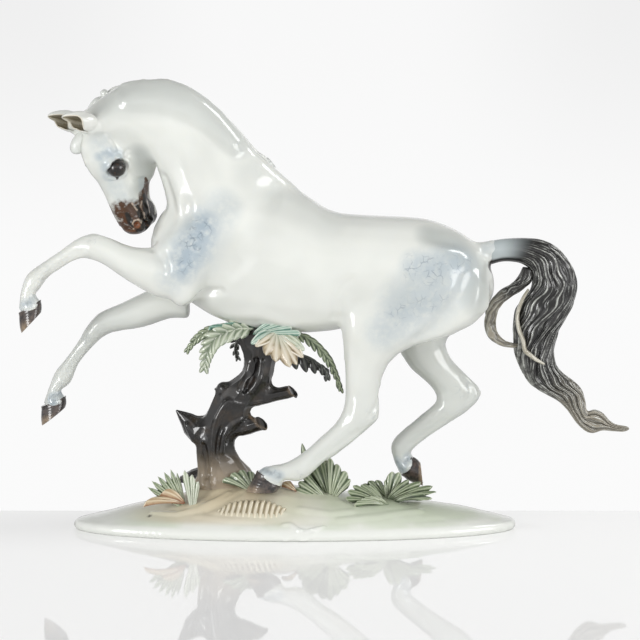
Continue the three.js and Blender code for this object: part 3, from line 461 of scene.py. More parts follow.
    def tint(self, name: str, share: np.ndarray) -> None:
        """Lays paint on a mask of the skin, where it is stronger than what is there."""
        before = self.tints.get(name, np.zeros(len(self.points)))
        self.tints[name] = np.maximum(before, share)

    def finish(self, material: Material, slot: str, castings: Sequence[str]) -> Object:
        """Turns the skin into a piece of the figurine.

        Args:
            material: Its finish.
            slot: Material slot of the record. Not used.
            castings: CAD nodes that it stands for.

        Returns:
            The piece.
        """
        self.write()
        for name, share in self.tints.items():
            layer = self.mesh.attributes.new(name, "FLOAT", "POINT")
            layer.data.foreach_set("value", np.clip(share, 0.0, 1.0).astype(np.float32))
        return placed(self.mesh, material, castings)


def placed(mesh: Mesh, material: Material,
           castings: Sequence[str] = ()) -> Object:
    """Puts a finished mesh into the scene as a piece that rides on the figurine.

    Args:
        mesh: Mesh in metres, in place.
        material: Its finish.
        castings: CAD nodes that it stands for.

    Returns:
        The piece.
    """
    mesh.materials.clear()
    mesh.materials.append(material)
    for face in mesh.polygons:
        face.use_smooth = True
    piece = bpy.data.objects.new(mesh.name, mesh)
    bpy.context.scene.collection.objects.link(piece)
    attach(piece, BODY)
    if castings:
        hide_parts(*castings)
    LOG.info("%s: %d faces", mesh.name, len(mesh.polygons))
    return piece


def hex_colour(code: str) -> tuple[float, float, float, float]:
    """Scene-linear colour of a display colour.

    Args:
        code: Six digits, such as "d8dcd4".

    Returns:
        Red, green, blue and alpha.
    """
    channels = [int(code[start:start + 2], 16) / 255 for start in (0, 2, 4)]
    linear = [c / 12.92 if c <= 0.04045 else ((c + 0.055) / 1.055) ** 2.4 for c in channels]
    return (*linear, 1.0)


Input = float | NodeSocket
Colour = str | NodeSocket


class Nodes:
    """Small helper that lays out nodes.

    Args:
        tree: Where they go.
        coordinates: Coordinates that their patterns read.
    """

    def __init__(self, tree: NodeTree, coordinates: str = "Object") -> None:
        self.nodes, self.links = tree.nodes, tree.links
        self.coordinates = coordinates
        self._place: Optional[NodeSocket] = None

    def add(self, kind: str, inputs: Optional[dict] = None, **settings) -> Node:
        """Adds a node.

        Args:
            kind: Its type.
            inputs: Value or socket for its inputs, by name or number.
            **settings: Its properties.

        Returns:
            The node.
        """
        node = self.nodes.new(kind)
        for key, value in settings.items():
            setattr(node, key, value)
        for key, value in (inputs or {}).items():
            if isinstance(value, NodeSocket):
                self.links.new(value, node.inputs[key])
            else:
                node.inputs[key].default_value = value
        return node

    @property
    def place(self) -> NodeSocket:
        """Place on the piece, in metres, or direction in the surround."""
        if self._place is None:
            self._place = self.add("ShaderNodeTexCoord").outputs[self.coordinates]
        return self._place

    def tint(self, name: str) -> NodeSocket:
        """Paint mask of the piece."""
        return self.add("ShaderNodeAttribute", attribute_name=name).outputs["Fac"]

    def cloud(self, size: float, detail: float = 3.0, roughness: float = 0.5) -> NodeSocket:
        """Soft noise whose patches are about that many millimetres wide."""
        node = self.add("ShaderNodeTexNoise", {"Vector": self.place, "Scale": 1.0 / (size * MM),
                                               "Detail": detail, "Roughness": roughness})
        return node.outputs["Fac"]

    def maths(self, operation: str, first: Input, second: Input = 0.5) -> NodeSocket:
        """Result of a sum on two values or sockets."""
        return self.add("ShaderNodeMath", {0: first, 1: second}, operation=operation).outputs[0]

    def ramp(self, value: Input, start: float, end: float, low: float = 0.0,
             high: float = 1.0) -> NodeSocket:
        """Share that rises smoothly from low to high while a value goes from start to end."""
        node = self.add("ShaderNodeMapRange", {"Value": value, "From Min": start, "From Max": end,
                                               "To Min": low, "To Max": high},
                        interpolation_type="SMOOTHSTEP")
        return node.outputs["Result"]

    def mixed(self, first: Colour, second: Colour, share: Input) -> NodeSocket:
        """Colour between two colours.

        Args:
            first: Hex code or socket.
            second: Hex code or socket.
            share: How much of the second one shows.

        Returns:
            Socket of the colour.
        """
        node = self.add("ShaderNodeMix", data_type="RGBA", clamp_factor=True)
        for key, value in ((6, first), (7, second)):
            if isinstance(value, str):
                node.inputs[key].default_value = hex_colour(value)
            else:
                self.links.new(value, node.inputs[key])
        if isinstance(share, NodeSocket):
            self.links.new(share, node.inputs[0])
        else:
            node.inputs[0].default_value = share
        return node.outputs[2]


class Shader(Nodes):
    """Nodes of a finish.

    Args:
        name: Name of the material.
    """

    def __init__(self, name: str) -> None:
        self.material = bpy.data.materials.new(name)
        self.material.use_nodes = True
        super().__init__(self.material.node_tree)
        self.surface = self.nodes["Principled BSDF"]

    def glaze(self, colour: NodeSocket, roughness: float = 0.12,
              wavy: float = 0.05) -> Material:
        """Ends the finish as a clear glaze over a colour.

        Args:
            colour: Socket of the colour under the glaze.
            roughness: Of the glaze.
            wavy: Height of the glaze's slow waves.

        Returns:
            The material.
        """
        inputs = self.surface.inputs
        self.links.new(colour, inputs["Base Color"])
        for key, value in (("Roughness", 0.32), ("Specular IOR Level", 0.35), ("Coat Weight", 1.0),
                           ("Coat Roughness", roughness * 0.4), ("Coat IOR", 1.5)):
            inputs[key].default_value = value
        bump = self.add("ShaderNodeBump", {"Height": self.cloud(7.0, 2.0), "Strength": 0.5,
                                           "Distance": wavy * MM})
        for key in ("Normal", "Coat Normal"):
            self.links.new(bump.outputs["Normal"], inputs[key])
        return self.material


@dataclass(frozen=True)
class HorseGlaze:
    """White glaze of the horse, with airbrushed blue-grey, brown and black under it.

    Args:
        white: Its ground.
        shade: Slow clouds in the ground.
        painted_shade: Painted shade: a greyer colour on the far and lower legs, the crest, the croup and
            haunch, the withers and the jaw.
        blue: Airbrushed patches, and painted shade as a thin wash over the face.
        crackle: Fine lines in them.
        grey: Rims over the hooves and on the joints.
        brown: Muzzle.
        amber: Warm places in the muzzle.
        black: Lids, chin and streaks.
        pale: Lines that are wiped clear.
        cell: Size of the crackle's cells.
    """

    white: str = "edefe9"
    shade: str = "e4e6e0"
    painted_shade: str = "bcc1bd"
    blue: str = "adbcc6"
    crackle: str = "8593a0"
    grey: str = "6a6f72"
    brown: str = "4a2c15"
    amber: str = "8f5837"
    black: str = "17120f"
    pale: str = "cdb9a6"
    cell: float = 4.8

    def material(self) -> Material:
        """Builds the finish."""
        shader = Shader("horse_glaze")
        cloud = shader.cloud(40.0, 2.0)
        colour = shader.mixed(self.white, self.shade, shader.ramp(cloud, 0.4, 0.75))
        # Painted shade: greyer colour where the legs, crest, croup and jaw lie in shadow.
        colour = shader.mixed(colour, self.painted_shade, shader.tint("painted_shade"))
        mottle = shader.cloud(5.0, 4.0, 0.6)
        blue = shader.maths("MULTIPLY", shader.tint("blue"), shader.ramp(mottle, 0.25, 0.6, 0.45, 1.0))
        colour = shader.mixed(colour, self.blue, blue)
        cells = {"Vector": self._bent(shader), "Scale": 1.0 / (self.cell * MM)}
        cracks = shader.add("ShaderNodeTexVoronoi", cells, feature="DISTANCE_TO_EDGE").outputs["Distance"]
        line = shader.ramp(cracks, 0.0, 0.085, 0.9, 0.0)
        broken = shader.ramp(shader.cloud(4.0, 2.0), 0.42, 0.66)
        line = shader.maths("MULTIPLY", line, shader.maths("MULTIPLY", broken, shader.tint("crackle")))
        colour = shader.mixed(colour, self.crackle, line)
        for name, code in (("grey", self.grey), ("brown", self.brown), ("black", self.black),
                           ("amber", self.amber), ("pale", self.pale)):
            streaks = shader.ramp(shader.cloud(2.2, 3.0), 0.25, 0.75, 0.6, 1.4)
            share = shader.ramp(shader.maths("MULTIPLY", shader.tint(name), streaks), 0.08, 0.85)
            colour = shader.mixed(colour, code, share)
        for key, value in (("Weight", 0.12), ("Radius", (1.0, 0.9, 0.75)), ("Scale", 2 * MM)):
            shader.surface.inputs[f"Subsurface {key}"].default_value = value
        return shader.glaze(colour)

    @staticmethod
    def _bent(shader: Shader) -> NodeSocket:
        """Places shifted by noise, so that crackle lines wander."""
        inputs = {"Vector": shader.place, "Scale": 1.0 / (9 * MM), "Detail": 3.0}
        wander = shader.add("ShaderNodeTexNoise", inputs).outputs["Color"]
        shift = shader.add("ShaderNodeVectorMath", {0: wander, "Scale": 6 * MM}, operation="SCALE").outputs[0]
        return shader.add("ShaderNodeVectorMath", {0: shader.place, 1: shift}, operation="ADD").outputs[0]


@dataclass
class HeadAxes:
    """Axes of the horse's head: down its face, forward out of it and to its right.

    Args:
        poll: Place of the poll.
        turn: Degrees that the head looks round to the left.
        tuck: Degrees that the nose is drawn in behind the vertical.
    """

    poll: Triple = (-144.54, -15.61, 239.0)
    turn: float = 38.0
    tuck: float = 25.0

    def __post_init__(self) -> None:
        """Works out the three directions."""
        tuck, turn = math.radians(self.tuck), math.radians(self.turn)
        spin = np.array(((math.cos(turn), -math.sin(turn), 0), (math.sin(turn), math.cos(turn), 0),
                         (0, 0, 1)))
        self.down = spin @ np.array((math.sin(tuck), 0.0, -math.cos(tuck)))
        self.forward = spin @ np.array((-math.cos(tuck), 0.0, -math.sin(tuck)))
        self.right = spin @ np.array((0.0, 1.0, 0.0))

    def place(self, down: float, forward: float, right: float = 0.0) -> np.ndarray:
        """Point of the frame for a place in the head."""
        return np.array(self.poll) + down * self.down + forward * self.forward + right * self.right

    def local(self, points: np.ndarray) -> np.ndarray:
        """Places in the head of points of the frame, as down, forward and right."""
        away = points - np.array(self.poll)
        return np.stack((away @ self.down, away @ self.forward, away @ self.right), axis=-1)

    def mirrored(self, point: Sequence[float]) -> np.ndarray:
        """The point on the other side of the head."""
        down, forward, right = self.local(np.asarray(point, float))
        return self.place(down, forward, -right)


HEAD = HeadAxes()


def smooth_path(stations: np.ndarray, count: int) -> np.ndarray:
    """Rounds off a line of stations, of any number of columns.

    Args:
        stations: One row for each station.
        count: Number of rows wanted.

    Returns:
        Rows evenly spread along the rounded line.
    """
    padded = np.vstack((2 * stations[0] - stations[1], stations, 2 * stations[-1] - stations[-2]))
    spread = np.linspace(0, len(stations) - 1, count * 4)
    index = np.minimum(spread.astype(int), len(stations) - 2)
    part = (spread - index)[:, None]
    a, b, c, d = (padded[index + offset] for offset in range(4))
    line = 0.5 * (2 * b + (c - a) * part + (2 * a - 5 * b + 4 * c - d) * part ** 2
                  + (3 * b - a - 3 * c + d) * part ** 3)
    steps = np.linalg.norm(np.diff(line[:, :3], axis=0), axis=1)
    along = np.concatenate(([0.0], np.cumsum(steps)))
    even = np.linspace(0, along[-1], count)
    return np.stack([np.interp(even, along, column) for column in line.T], axis=1)


def sampled(line: np.ndarray, share: np.ndarray) -> np.ndarray:
    """Rows of a line at shares of its length."""
    index = share * (len(line) - 1)
    return np.stack([np.interp(index, np.arange(len(line)), column) for column in line.T], axis=1)


def between_edges(edges: Sequence[tuple[float, float, float, float]], depths: Sequence[float],
                  halves: Sequence[float], count: int) -> np.ndarray:
    """Line between two edges that the photograph shows.

    Args:
        edges: Pairs of pixels, one on each edge.
        depths: Place of the line from front to back at each pair.
        halves: Half thickness at each pair.
        count: Number of rows wanted.

    Returns:
        Rows of the middle, the way from it to the first edge, and the half thickness.
    """
    rows = []
    for (left, top, right, low), depth, half in zip(edges, depths, halves):
        first, second = at_depth((left, top), depth), at_depth((right, low), depth)
        rows.append((*((first + second) / 2), *((first - second) / 2), half))
    return smooth_path(np.array(rows), count)


def waves(first: np.ndarray, second: np.ndarray, seed: float) -> np.ndarray:
    """Smooth wandering value between about -1 and 1 over a surface.

    Args:
        first: One coordinate of the surface.
        second: The other coordinate.
        seed: Varies the waves.

    Returns:
        A value for each place.
    """
    total = np.zeros(np.broadcast(first, second).shape)
    for turn in range(1, 6):
        total += np.sin(first * (0.9 + 0.53 * turn) + second * (1.7 - 0.61 * turn) * (-1) ** turn
                        + seed * turn * 1.93) / turn
    return total / 2.2


Place = Callable[[np.ndarray, np.ndarray], Surface]


def tube(name: str, columns: int, rows: int, place: Place) -> Mesh:
    """Rolls a grid into a closed skin: its sides meet and its ends are closed.

    Args:
        name: Name of the mesh.
        columns: Faces around.
        rows: Faces along.
        place: Gives the points and the paint masks for shares around and along.

    Returns:
        The mesh in metres.
    """
    bm = bmesh.new()
    bmesh.ops.create_grid(bm, x_segments=columns, y_segments=rows, size=0.5)
    flat = np.array([vert.co[:2] for vert in bm.verts]) + 0.5
    points, tints = place(flat[:, 0], flat[:, 1])
    for vert, point in zip(bm.verts, points * MM):
        vert.co = point
    for tint, values in tints.items():
        layer = bm.verts.layers.float.new(tint)
        for vert, value in zip(bm.verts, values):
            vert[layer] = float(value)
    bmesh.ops.remove_doubles(bm, verts=bm.verts, dist=2e-7)
    bmesh.ops.holes_fill(bm, edges=[edge for edge in bm.edges if edge.is_boundary], sides=0)
    bmesh.ops.recalc_face_normals(bm, faces=bm.faces)
    mesh = bpy.data.meshes.new(name)
    bm.to_mesh(mesh)
    bm.free()
    return mesh


def sheet(name: str, columns: int, rows: int, place: Place, thickness: float) -> Mesh:
    """Makes a sheet of porcelain with a rounded rim, as a tube that is pressed flat.

    Args:
        name: Name of the mesh.
        columns: Faces across.
        rows: Faces along.
        place: Gives the points and the paint masks of the sheet's middle surface.
        thickness: Of the sheet.

    Returns:
        The mesh in metres. Its mask "back" is 1 on the side that the middle surface's normal leaves.
    """
    step = 0.004

    def pressed(around: np.ndarray, along: np.ndarray) -> Surface:
        """Points and masks of both sides."""
        turn = (1.0 - np.cos(around * 2 * math.pi)) / 2
        front = around <= 0.5
        points, tints = place(turn, along)
        inner, length = np.clip(turn, step, 1 - step), np.clip(along, step, 1 - step)
        over = place(inner + step, length)[0] - place(inner - step, length)[0]
        forth = place(inner, length + step)[0] - place(inner, length - step)[0]
        normal = np.cross(over, forth)
        normal /= np.maximum(np.linalg.norm(normal, axis=1), 1e-9)[:, None]
        rim = np.sqrt(np.clip(1 - np.abs(2 * turn - 1) ** 6, 0, 1)) * np.sqrt(
            np.clip(1 - np.abs(2 * along - 1) ** 24, 0, 1))
        half = np.where(front, 0.5, -0.5) * thickness * rim
        return points + half[:, None] * normal, {**tints, "back": np.where(front, 0.0, 1.0)}

    return tube(name, columns * 2, rows, pressed)


@dataclass
class HorseSkin:
    """White skin of the horse: trunk, neck, head and legs, as one glazed surface.

    Args:
        voxel: Size of a face on the trunk.
        castings: CAD nodes that it stands for.
        middle: Side shift of the horse's middle plane.
        glaze: Its finish.
    """

    voxel: float = 1.37
    castings: tuple[str, ...] = ("horse_body", "head", "left_foreleg", "right_foreleg",
                                 "left_hind_leg", "right_hind_leg")
    middle: float = 0.39
    glaze: HorseGlaze = field(default_factory=HorseGlaze)
    body_strokes: tuple[Stroke, ...] = (
        Stroke(((262, 170), (240, 205), (212, 240), (182, 268)), (12, 14, 15, 12), 1.1),
        Stroke(((268, 190), (256, 225), (236, 258), (212, 288)), (10, 13, 13, 9), -1.8),
        Stroke(((176, 228), (168, 250), (170, 272)), 6.5, 1.1),
        Stroke(((187, 205), (180, 232), (179, 256)), 6, -1.2),
        Stroke(((160, 236), (162, 246)), 8, 1.0),
        Stroke(((153, 249), (161, 258), (166, 268)), 4, -1.5, both=False),
        Stroke(((182, 300),), 10, 1.6),
        Stroke(((188, 304), (197, 297), (207, 293), (221, 291)), (3.5, 3.5, 4, 3), -2.0),
        Stroke(((150, 272), (125, 262), (105, 250)), (10, 9, 6), 1.0),
        Stroke(((225, 315), (262, 314), (290, 325)), 6, 0.8),
        Stroke(((320, 246), (328, 264), (334, 285)), (15, 18, 12), -1.5),
        Stroke(((132, 98), (160, 94), (187, 102), (212, 119), (234, 142)), (9, 12, 13, 12, 9), 2.6, 1.3,
            sideways=True),
        Stroke(((333, 318), (335, 300), (343, 286), (352, 278)), (2.5, 3.5, 3.5, 2.5), -1.1),
        Stroke(((341, 318), (342, 303), (350, 291)), (2.5, 3, 2.5), -0.9),
        Stroke(((356, 238),), 16, 1.0),
        Stroke(((432, 252), (445, 268), (448, 286), (436, 297), (414, 298)), (8, 10, 10, 8, 6), 0.7),
        Stroke(((405, 290), (409, 282), (405, 276)), 3, -0.9),
        Stroke(((474, 268), (462, 296), (440, 322), (418, 338)), (7, 9, 8, 6), -1.5),
        Stroke(((352, 318), (356, 330)), 12, 1.5),
        Stroke(((164, 178), (172, 205), (173, 228)), 6, -1.5),
        Stroke(((196, 120), (228, 160), (262, 200)), (12, 16, 14), -0.9),
        Stroke(((190, 150), (205, 185), (222, 212)), (12, 15, 12), 1.2),
    )
    leg_strokes: tuple[Stroke, ...] = (
        Stroke(((96, 243), (90, 249)), 6, 0.8, both=False),
        Stroke(((70, 258), (52, 270), (44, 279)), (2.5, 2.5, 2.2), -0.7, both=False),
        Stroke(((80, 252), (72, 256)), 3, -0.7, both=False),
        Stroke(((36, 287),), 5, 0.6, both=False),
        Stroke(((22, 298), (19.5, 311)), 1.5, 0.6, both=False),
        Stroke(((27, 296), (25, 309)), 1.5, 0.6, both=False),
        Stroke(((32, 293), (31, 305)), 1.5, 0.6, both=False),
        Stroke(((37, 291), (37.5, 301)), 1.5, 0.6, both=False),
        Stroke(((46, 392), (43, 404)), 1.5, 0.6, both=False),
        Stroke(((52, 390), (49, 401)), 1.5, 0.6, both=False),
        Stroke(((58, 388), (56, 398)), 1.5, 0.6, both=False),
        Stroke(((266, 464), (260, 471)), 1.5, 0.6, both=False),
        Stroke(((273, 466), (266, 475)), 1.5, 0.6, both=False),
        Stroke(((280, 469), (272, 479)), 1.5, 0.6, both=False),
        Stroke(((395, 462), (401, 474)), 1.5, 0.6, both=False),
        Stroke(((400, 458), (406, 468)), 1.5, 0.6, both=False),
        Stroke(((95, 326), (90, 333)), 6, 0.8, both=False),
        Stroke(((80, 352), (68, 372)), 2.4, -0.7, both=False),
        Stroke(((64, 384),), 5, 0.6, both=False),
        Stroke(((386, 384), (377, 404), (370, 416)), (3.5, 3.2, 2.5), -1.0, both=False),
        Stroke(((358, 405), (355, 424)), 5, 0.8, both=False),
        Stroke(((356, 432), (334, 448), (316, 460)), (2.5, 2.3, 2.3), -0.8, both=False),
        Stroke(((300, 471),), 6, 0.6, both=False),
        Stroke(((464, 378), (473, 391), (466, 402)), (3, 3.2, 2.5), -0.9, both=False),
        Stroke(((444, 398), (446, 408)), 5, 0.8, both=False),
        Stroke(((446, 419), (424, 433), (410, 444)), 2.4, -0.8, both=False),
    )
    head_strokes: tuple[Stroke, ...] = (
        Stroke(((104, 149), (110, 154), (117, 156)), (2.6, 3.0, 2.4), 0.8),
        Stroke(((106, 136), (111, 143), (114.5, 150)), (2.0, 2.4, 2.0), 0.8),
        Stroke(((122, 180), (127, 192), (131, 203)), (2.6, 3, 2.6), 0.8),
        Stroke(((113, 190), (119, 206)), 3.2, -0.6),
        Stroke(((127, 150), (124, 160), (128, 172), (136, 180), (144, 179)), 2.2, -0.8),
        Stroke(((136.5, 224.5),), 2.4, -2.6),
        Stroke(((141.5, 229.5),), 3.0, 1.0),
        Stroke(((148.4, 222.5), (147.6, 227.0), (147.4, 231.0)), (1.6, 2.0, 2.2), -2.8),
        Stroke(((152, 219),), 2.6, 0.9),
        Stroke(((123, 233), (131, 235.5), (139, 235)), 3.0, -1.1),
        Stroke(((133, 227.5), (132, 222.5), (135.5, 219.5), (140, 220.5)), 1.5, 1.0),
        Stroke(((141, 201), (141.5, 206), (145, 211), (144, 217), (147, 223)), (1.3, 1.4, 1.6, 1.8, 2.2),
            -1.8),
        Stroke(((145, 202), (147.5, 207), (148, 213)), 1.5, 0.6),
        Stroke(((124, 205), (128, 211), (132, 216)), 1.8, 0.5),
        Stroke(((146, 186), (149, 200)), 3, -0.6),
    )

    @staticmethod
    def _crest() -> list[Lump]:
        """Clay that carries the top line of the neck over the poll."""
        balls = (((122, 99.5), 0.4, (8.5, 6.0, 7.4)), ((108, 104), 0.4, (7.5, 5.8, 7.0)),
                 ((96.5, 112), -1.0, (5.0, 5.6, 5.6)), ((102, 104), -0.5, (5.6, 5.6, 6.6)))
        return [Lump(at_depth(spot, depth), radii) for spot, depth, radii in balls]

    @staticmethod
    def _swell(points: np.ndarray) -> np.ndarray:
        """Closes the luting gaps everywhere, and fills the hollow behind the ears and cheeks."""
        x, _, z = points.T
        return 0.3 + 5.5 * smooth_step((z - 224) / 12) * smooth_step((-92 - x) / 14)

    @staticmethod
    def _lumps() -> list[Lump]:
        """Jowls, nostrils, lips, chin and the roots of the ears."""
        axes = (HEAD.down, HEAD.forward, HEAD.right)
        paired = (
            ((36.0, -25.6, 7.5), (14.0, 10.6, 6.2)),
            ((68.0, -9.6, 4.4), (6.2, 5.6, 4.0)),
            ((8.3, -13.0, 8.5), (7.0, 7.5, 6.0)),
            ((3.0, -6.0, 8.6), (5.6, 7.0, 5.0)),
        )
        single = (
            ((67.0, -11.4, 0.0), (8.4, 8.0, 7.6)),
            ((72.4, -14.5, 0.0), (4.6, 5.0, 6.2)),
            ((67.0, -22.5, 0.0), (9.5, 5.6, 5.6)),
        )
        lumps = [Lump(HEAD.place(down, forward, right * side.value), radii, axes)
                 for (down, forward, right), radii in paired for side in Side]
        return lumps + [Lump(HEAD.place(*centre), radii, axes) for centre, radii in single]

    def in_head(self, clay: Clay) -> np.ndarray:
        """Share by which each point belongs to the head."""
        down, forward, right = HEAD.local(clay.points).T
        return smooth_step((down + 0.45 * forward + 22.0) / 10.0) * (np.abs(right) < 26) * (
            forward > -52) * (down < 95)

    def on_face(self, clay: Clay) -> np.ndarray:
        """Which points lie on the head in front of the neck, where the drawing is finest."""
        down, forward, _ = HEAD.local(clay.points).T
        return (self.in_head(clay) > 0.5) & (forward > -38) & (down > -4) & (down < 83)

    def _work(self, clay: Clay, strokes: Sequence[Stroke], head: bool) -> None:
        """Adds and takes off clay along strokes, and along their mirror image where wanted."""
        amount, aside = np.zeros(len(clay.points)), np.zeros(len(clay.points))
        for stroke in strokes:
            path = clay.trace(stroke.spots)
            paths = [path]
            if stroke.both:
                paths.append(self._mirrored(path, head))
            for each, side in zip(paths, (-1.0, 1.0)):
                share = stroke.height * clay.reach(each, stroke.radii()) ** stroke.sharpness
                if stroke.sideways:
                    aside += side * share
                else:
                    amount += share
        clay.raise_by(amount)
        clay.raise_by(aside, np.array((0.0, 1.0, 0.0)))

    def _mirrored(self, path: np.ndarray, head: bool) -> np.ndarray:
        """Path on the other side of the horse or of its head."""
        if head:
            return np.array([HEAD.mirrored(point) for point in path])
        other = path.copy()
        other[:, 1] = 2 * self.middle - other[:, 1]
        return other

    def _paint(self, clay: Clay, name: str, spots: Sequence[Pixel], radius: float | tuple[float, ...],
               share: float = 1.0, both: bool = True, head: bool = False) -> None:
        """Airbrushes a mask along pixels."""
        stroke = Stroke(tuple(spots), radius, share)
        path = clay.trace(spots)
        for each in (path, self._mirrored(path, head)) if both else (path,):
            clay.tint(name, share * clay.reach(each, stroke.radii()) ** 1.3)

    def _socket(self, clay: Clay) -> None:
        """Presses the eye sockets and rolls the lids round them."""
        amount = np.zeros(len(clay.points))
        for side in Side:
            centre = HEAD.place(*EYE.place(side))
            away = HEAD.local(clay.points) - HEAD.local(centre)
            down, forward, right = away.T
            near = np.abs(right) < 7
            almond = np.sqrt((down / 4.6) ** 2 + (forward / 5.2) ** 2)
            lid = 0.9 * np.exp(-((almond - 1.3) / 0.24) ** 2)
            amount += near * (lid - 2.4 * smooth_step(1.9 - 1.4 * almond))
        clay.raise_by(amount)

    def build(self) -> Object:
        """Builds and dresses the skin.

        Returns:
            The piece.
        """
        clay = Clay("horse_skin", self.castings, self.voxel, self._swell, [*self._lumps(), *self._crest()])
        x, _, z = clay.points.T
        head = self.in_head(clay)
        slim = smooth_step((118.0 - z) / 12.0)
        slim = np.maximum(slim, smooth_step((-112.0 - x) / 10.0) * (z < 190))
        trunk = (1.0 - head) * (1.0 - 0.9 * slim)
        clay.relax(220, np.clip(trunk, 0.06, 1.0))
        clay.relax(60, head * 0.5)
        clay.relax(60, smooth_step((z - 228) / 8) * smooth_step((x + 150) / 10))
        clay.write()
        seam = np.zeros(len(x))
        for spots, radius in ((((104, 96), (112, 96), (124, 114), (136, 134), (142, 148)),
                              (9, 12, 15, 14, 8)),
                              (((100, 104), (108, 112)), (8, 9)),
                              (((116, 128), (126, 129), (135, 136), (142, 148)), (6, 8, 9, 7)),
                              (((137, 146), (145, 150), (151, 157)), (5, 7, 5))):
            path = clay.trace(spots)
            for each in (path, self._mirrored(path, True)):
                seam = np.maximum(seam, clay.reach(each, np.array(radius, float)))
        clay.melt(230, np.clip(2.2 * seam, 0.0, 1.0))
        clay.write()
        self._work(clay, self.body_strokes, False)
        self._work(clay, self.leg_strokes, False)
        clay.melt(2)
        clay.write()
        clay.refine(self.on_face(clay))
        clay.relax(10, self.in_head(clay))
        clay.relax(30, self.in_head(clay) * self.on_face(clay))
        clay.write()
        self._work(clay, self.head_strokes, True)
        clay.melt(2, self.in_head(clay))
        self._socket(clay)
        self._draw_in(clay)
        self._dress(clay)
        self.clay = clay
        return clay.finish(self.glaze.material(), "porcelain_white", self.castings)

    @staticmethod
    def _draw_in(clay: Clay) -> None:
        """Thins the ends of the legs, so that the hooves close over them."""
        amount = np.zeros(len(clay.points))
        for hoof in HOOVES:
            stations = hoof.stations(12)
            path, axis = stations[:, :3], unit(stations[-1, :3] - stations[0, :3])
            past = (clay.points - path[0]) @ axis
            amount -= 1.6 * smooth_step((past - 0.5) / 2.5) * (clay.reach(path, np.full(12, 15.0)) > 0)
        clay.raise_by(amount)

    def _paint_eye(self, clay: Clay) -> None:
        """Paints the black lids, with the point below them and the pale lines over them."""
        for spots, radius, share in ((((115.5, 167.0),), 6.6, 1.5),
                                     (((117, 173), (117.3, 179)), (2.6, 1.0), 1.2),
                                     (((121.5, 160), (124, 166), (122.5, 173)), 1.5, 1.1)):
            self._paint(clay, "black", spots, radius, share, head=True)
        self._paint(clay, "pale", ((119.5, 162.5), (122.0, 166.0), (120.0, 171.0)), 0.55, 1.2, head=True)
        self._paint(clay, "pale", ((115.5, 158.5), (118.5, 159.5)), 0.5, 1.0, head=True)

    def _paint_muzzle(self, clay: Clay) -> None:
        """Paints the brown muzzle, its black chin and the flames that run up the jaw."""
        for spots, radius in ((((122, 206), (127, 214), (134, 226)), (4.0, 6.8, 7.0)),
                              (((124, 228), (134, 231)), (4.0, 4.6)),
                              (((141, 208), (147, 221)), (6.6, 6.6)),
                              (((145.5, 178), (146, 187), (145, 197), (146, 206)), (1.0, 4.4, 7.4, 8.0))):
            self._paint(clay, "brown", spots, radius, 1.25, head=True)
        self._paint(clay, "brown", ((123, 212), (134, 214), (146, 208)), (10.5, 12.0, 9), 0.95, head=True)
        self._paint(clay, "brown", ((122, 224), (127, 231), (134, 234), (142, 234)), (3, 4, 4.5, 4),
                    1.5, head=True)
        self._paint(clay, "black", ((154, 202), (157, 211), (155, 221)), (3.4, 4.6, 4.4), 1.6, head=True)
        for spots, radius in ((((145, 200), (147, 212), (145, 226)), (1.6, 3.0, 4.0)),
                              (((150, 196), (152, 206), (152, 220)), (1.6, 3.4, 4.4)),
                              (((139, 231), (145, 230)), (2.0, 3.6)), (((127, 214), (131, 224)), (1.8, 2.6)),
                              (((137, 207), (141, 216)), (1.6, 2.4))):
            self._paint(clay, "black", spots, radius, 1.6, head=True)
        self._paint(clay, "amber", ((136.6, 224.4),), 2.9, 1.8, head=True)
        self._paint(clay, "amber", ((127, 231), (134, 230.5)), 1.6, 0.5, head=True)
        self._paint(clay, "amber", ((119, 206), (122, 214), (126, 224)), 3.4, 0.24, head=True)
        ring = ((133.6, 229), (132.6, 223.4), (134.6, 220.4), (138.8, 219.6), (141.2, 222.6))
        for spots in (ring, ((141.6, 201.5), (140.6, 207), (144, 213.5), (144.6, 218)),
                      ((147, 200), (149.5, 212)),
                      ((132, 203), (137, 210))):
            self._paint(clay, "pale", spots, 0.75, 0.9, head=True)

    def _dress(self, clay: Clay) -> None:
        """Paints the masks of the glaze colours."""
        paint = self._paint
        paint(clay, "blue", ((182, 266), (192, 247), (203, 226)), (14, 18, 15), 1.0)
        paint(clay, "blue", ((171, 280), (190, 250), (222, 208)), (12, 24, 15), 0.4)
        paint(clay, "crackle", ((184, 262), (193, 246), (202, 228)), (9, 12, 10), 1.0)
        paint(clay, "blue", ((384, 332), (410, 309), (438, 284), (458, 264)), (15, 25, 27, 19), 0.5)
        paint(clay, "blue", ((418, 268), (438, 266), (460, 262)), 14, 0.68)
        paint(clay, "blue", ((396, 316), (436, 300)), 12, 0.6)
        paint(clay, "crackle", ((420, 268), (438, 267), (458, 262)), 13, 0.9)
        paint(clay, "crackle", ((392, 318), (410, 308), (436, 298)), 9, 0.6)
        _, y, z = clay.points.T
        # Painted shade: greyer colour on the far legs, the lower legs, the crest, the croup and haunch, the
        # withers and the jaw.
        clay.tint("painted_shade", 0.45 * smooth_step((y - 4) / 6) * smooth_step((150 - z) / 25))
        clay.tint("painted_shade", 0.25 * smooth_step((95 - z) / 30))
        paint(clay, "painted_shade", ((106, 104), (138, 92), (175, 93), (206, 110), (240, 145)),
              (12, 18, 18, 15, 12), 0.6)
        paint(clay, "painted_shade", ((432, 236), (455, 246), (474, 270), (478, 296)), (12, 18, 19, 14), 0.9)
        paint(clay, "painted_shade", ((400, 300), (432, 286), (452, 262)), (16, 20, 16), 0.5)
        paint(clay, "painted_shade", ((250, 172), (285, 199), (325, 224)), (14, 19, 14), 0.26)
        paint(clay, "painted_shade", ((140, 152), (146, 176), (138, 188)), (9, 10, 7), 0.75, head=True)
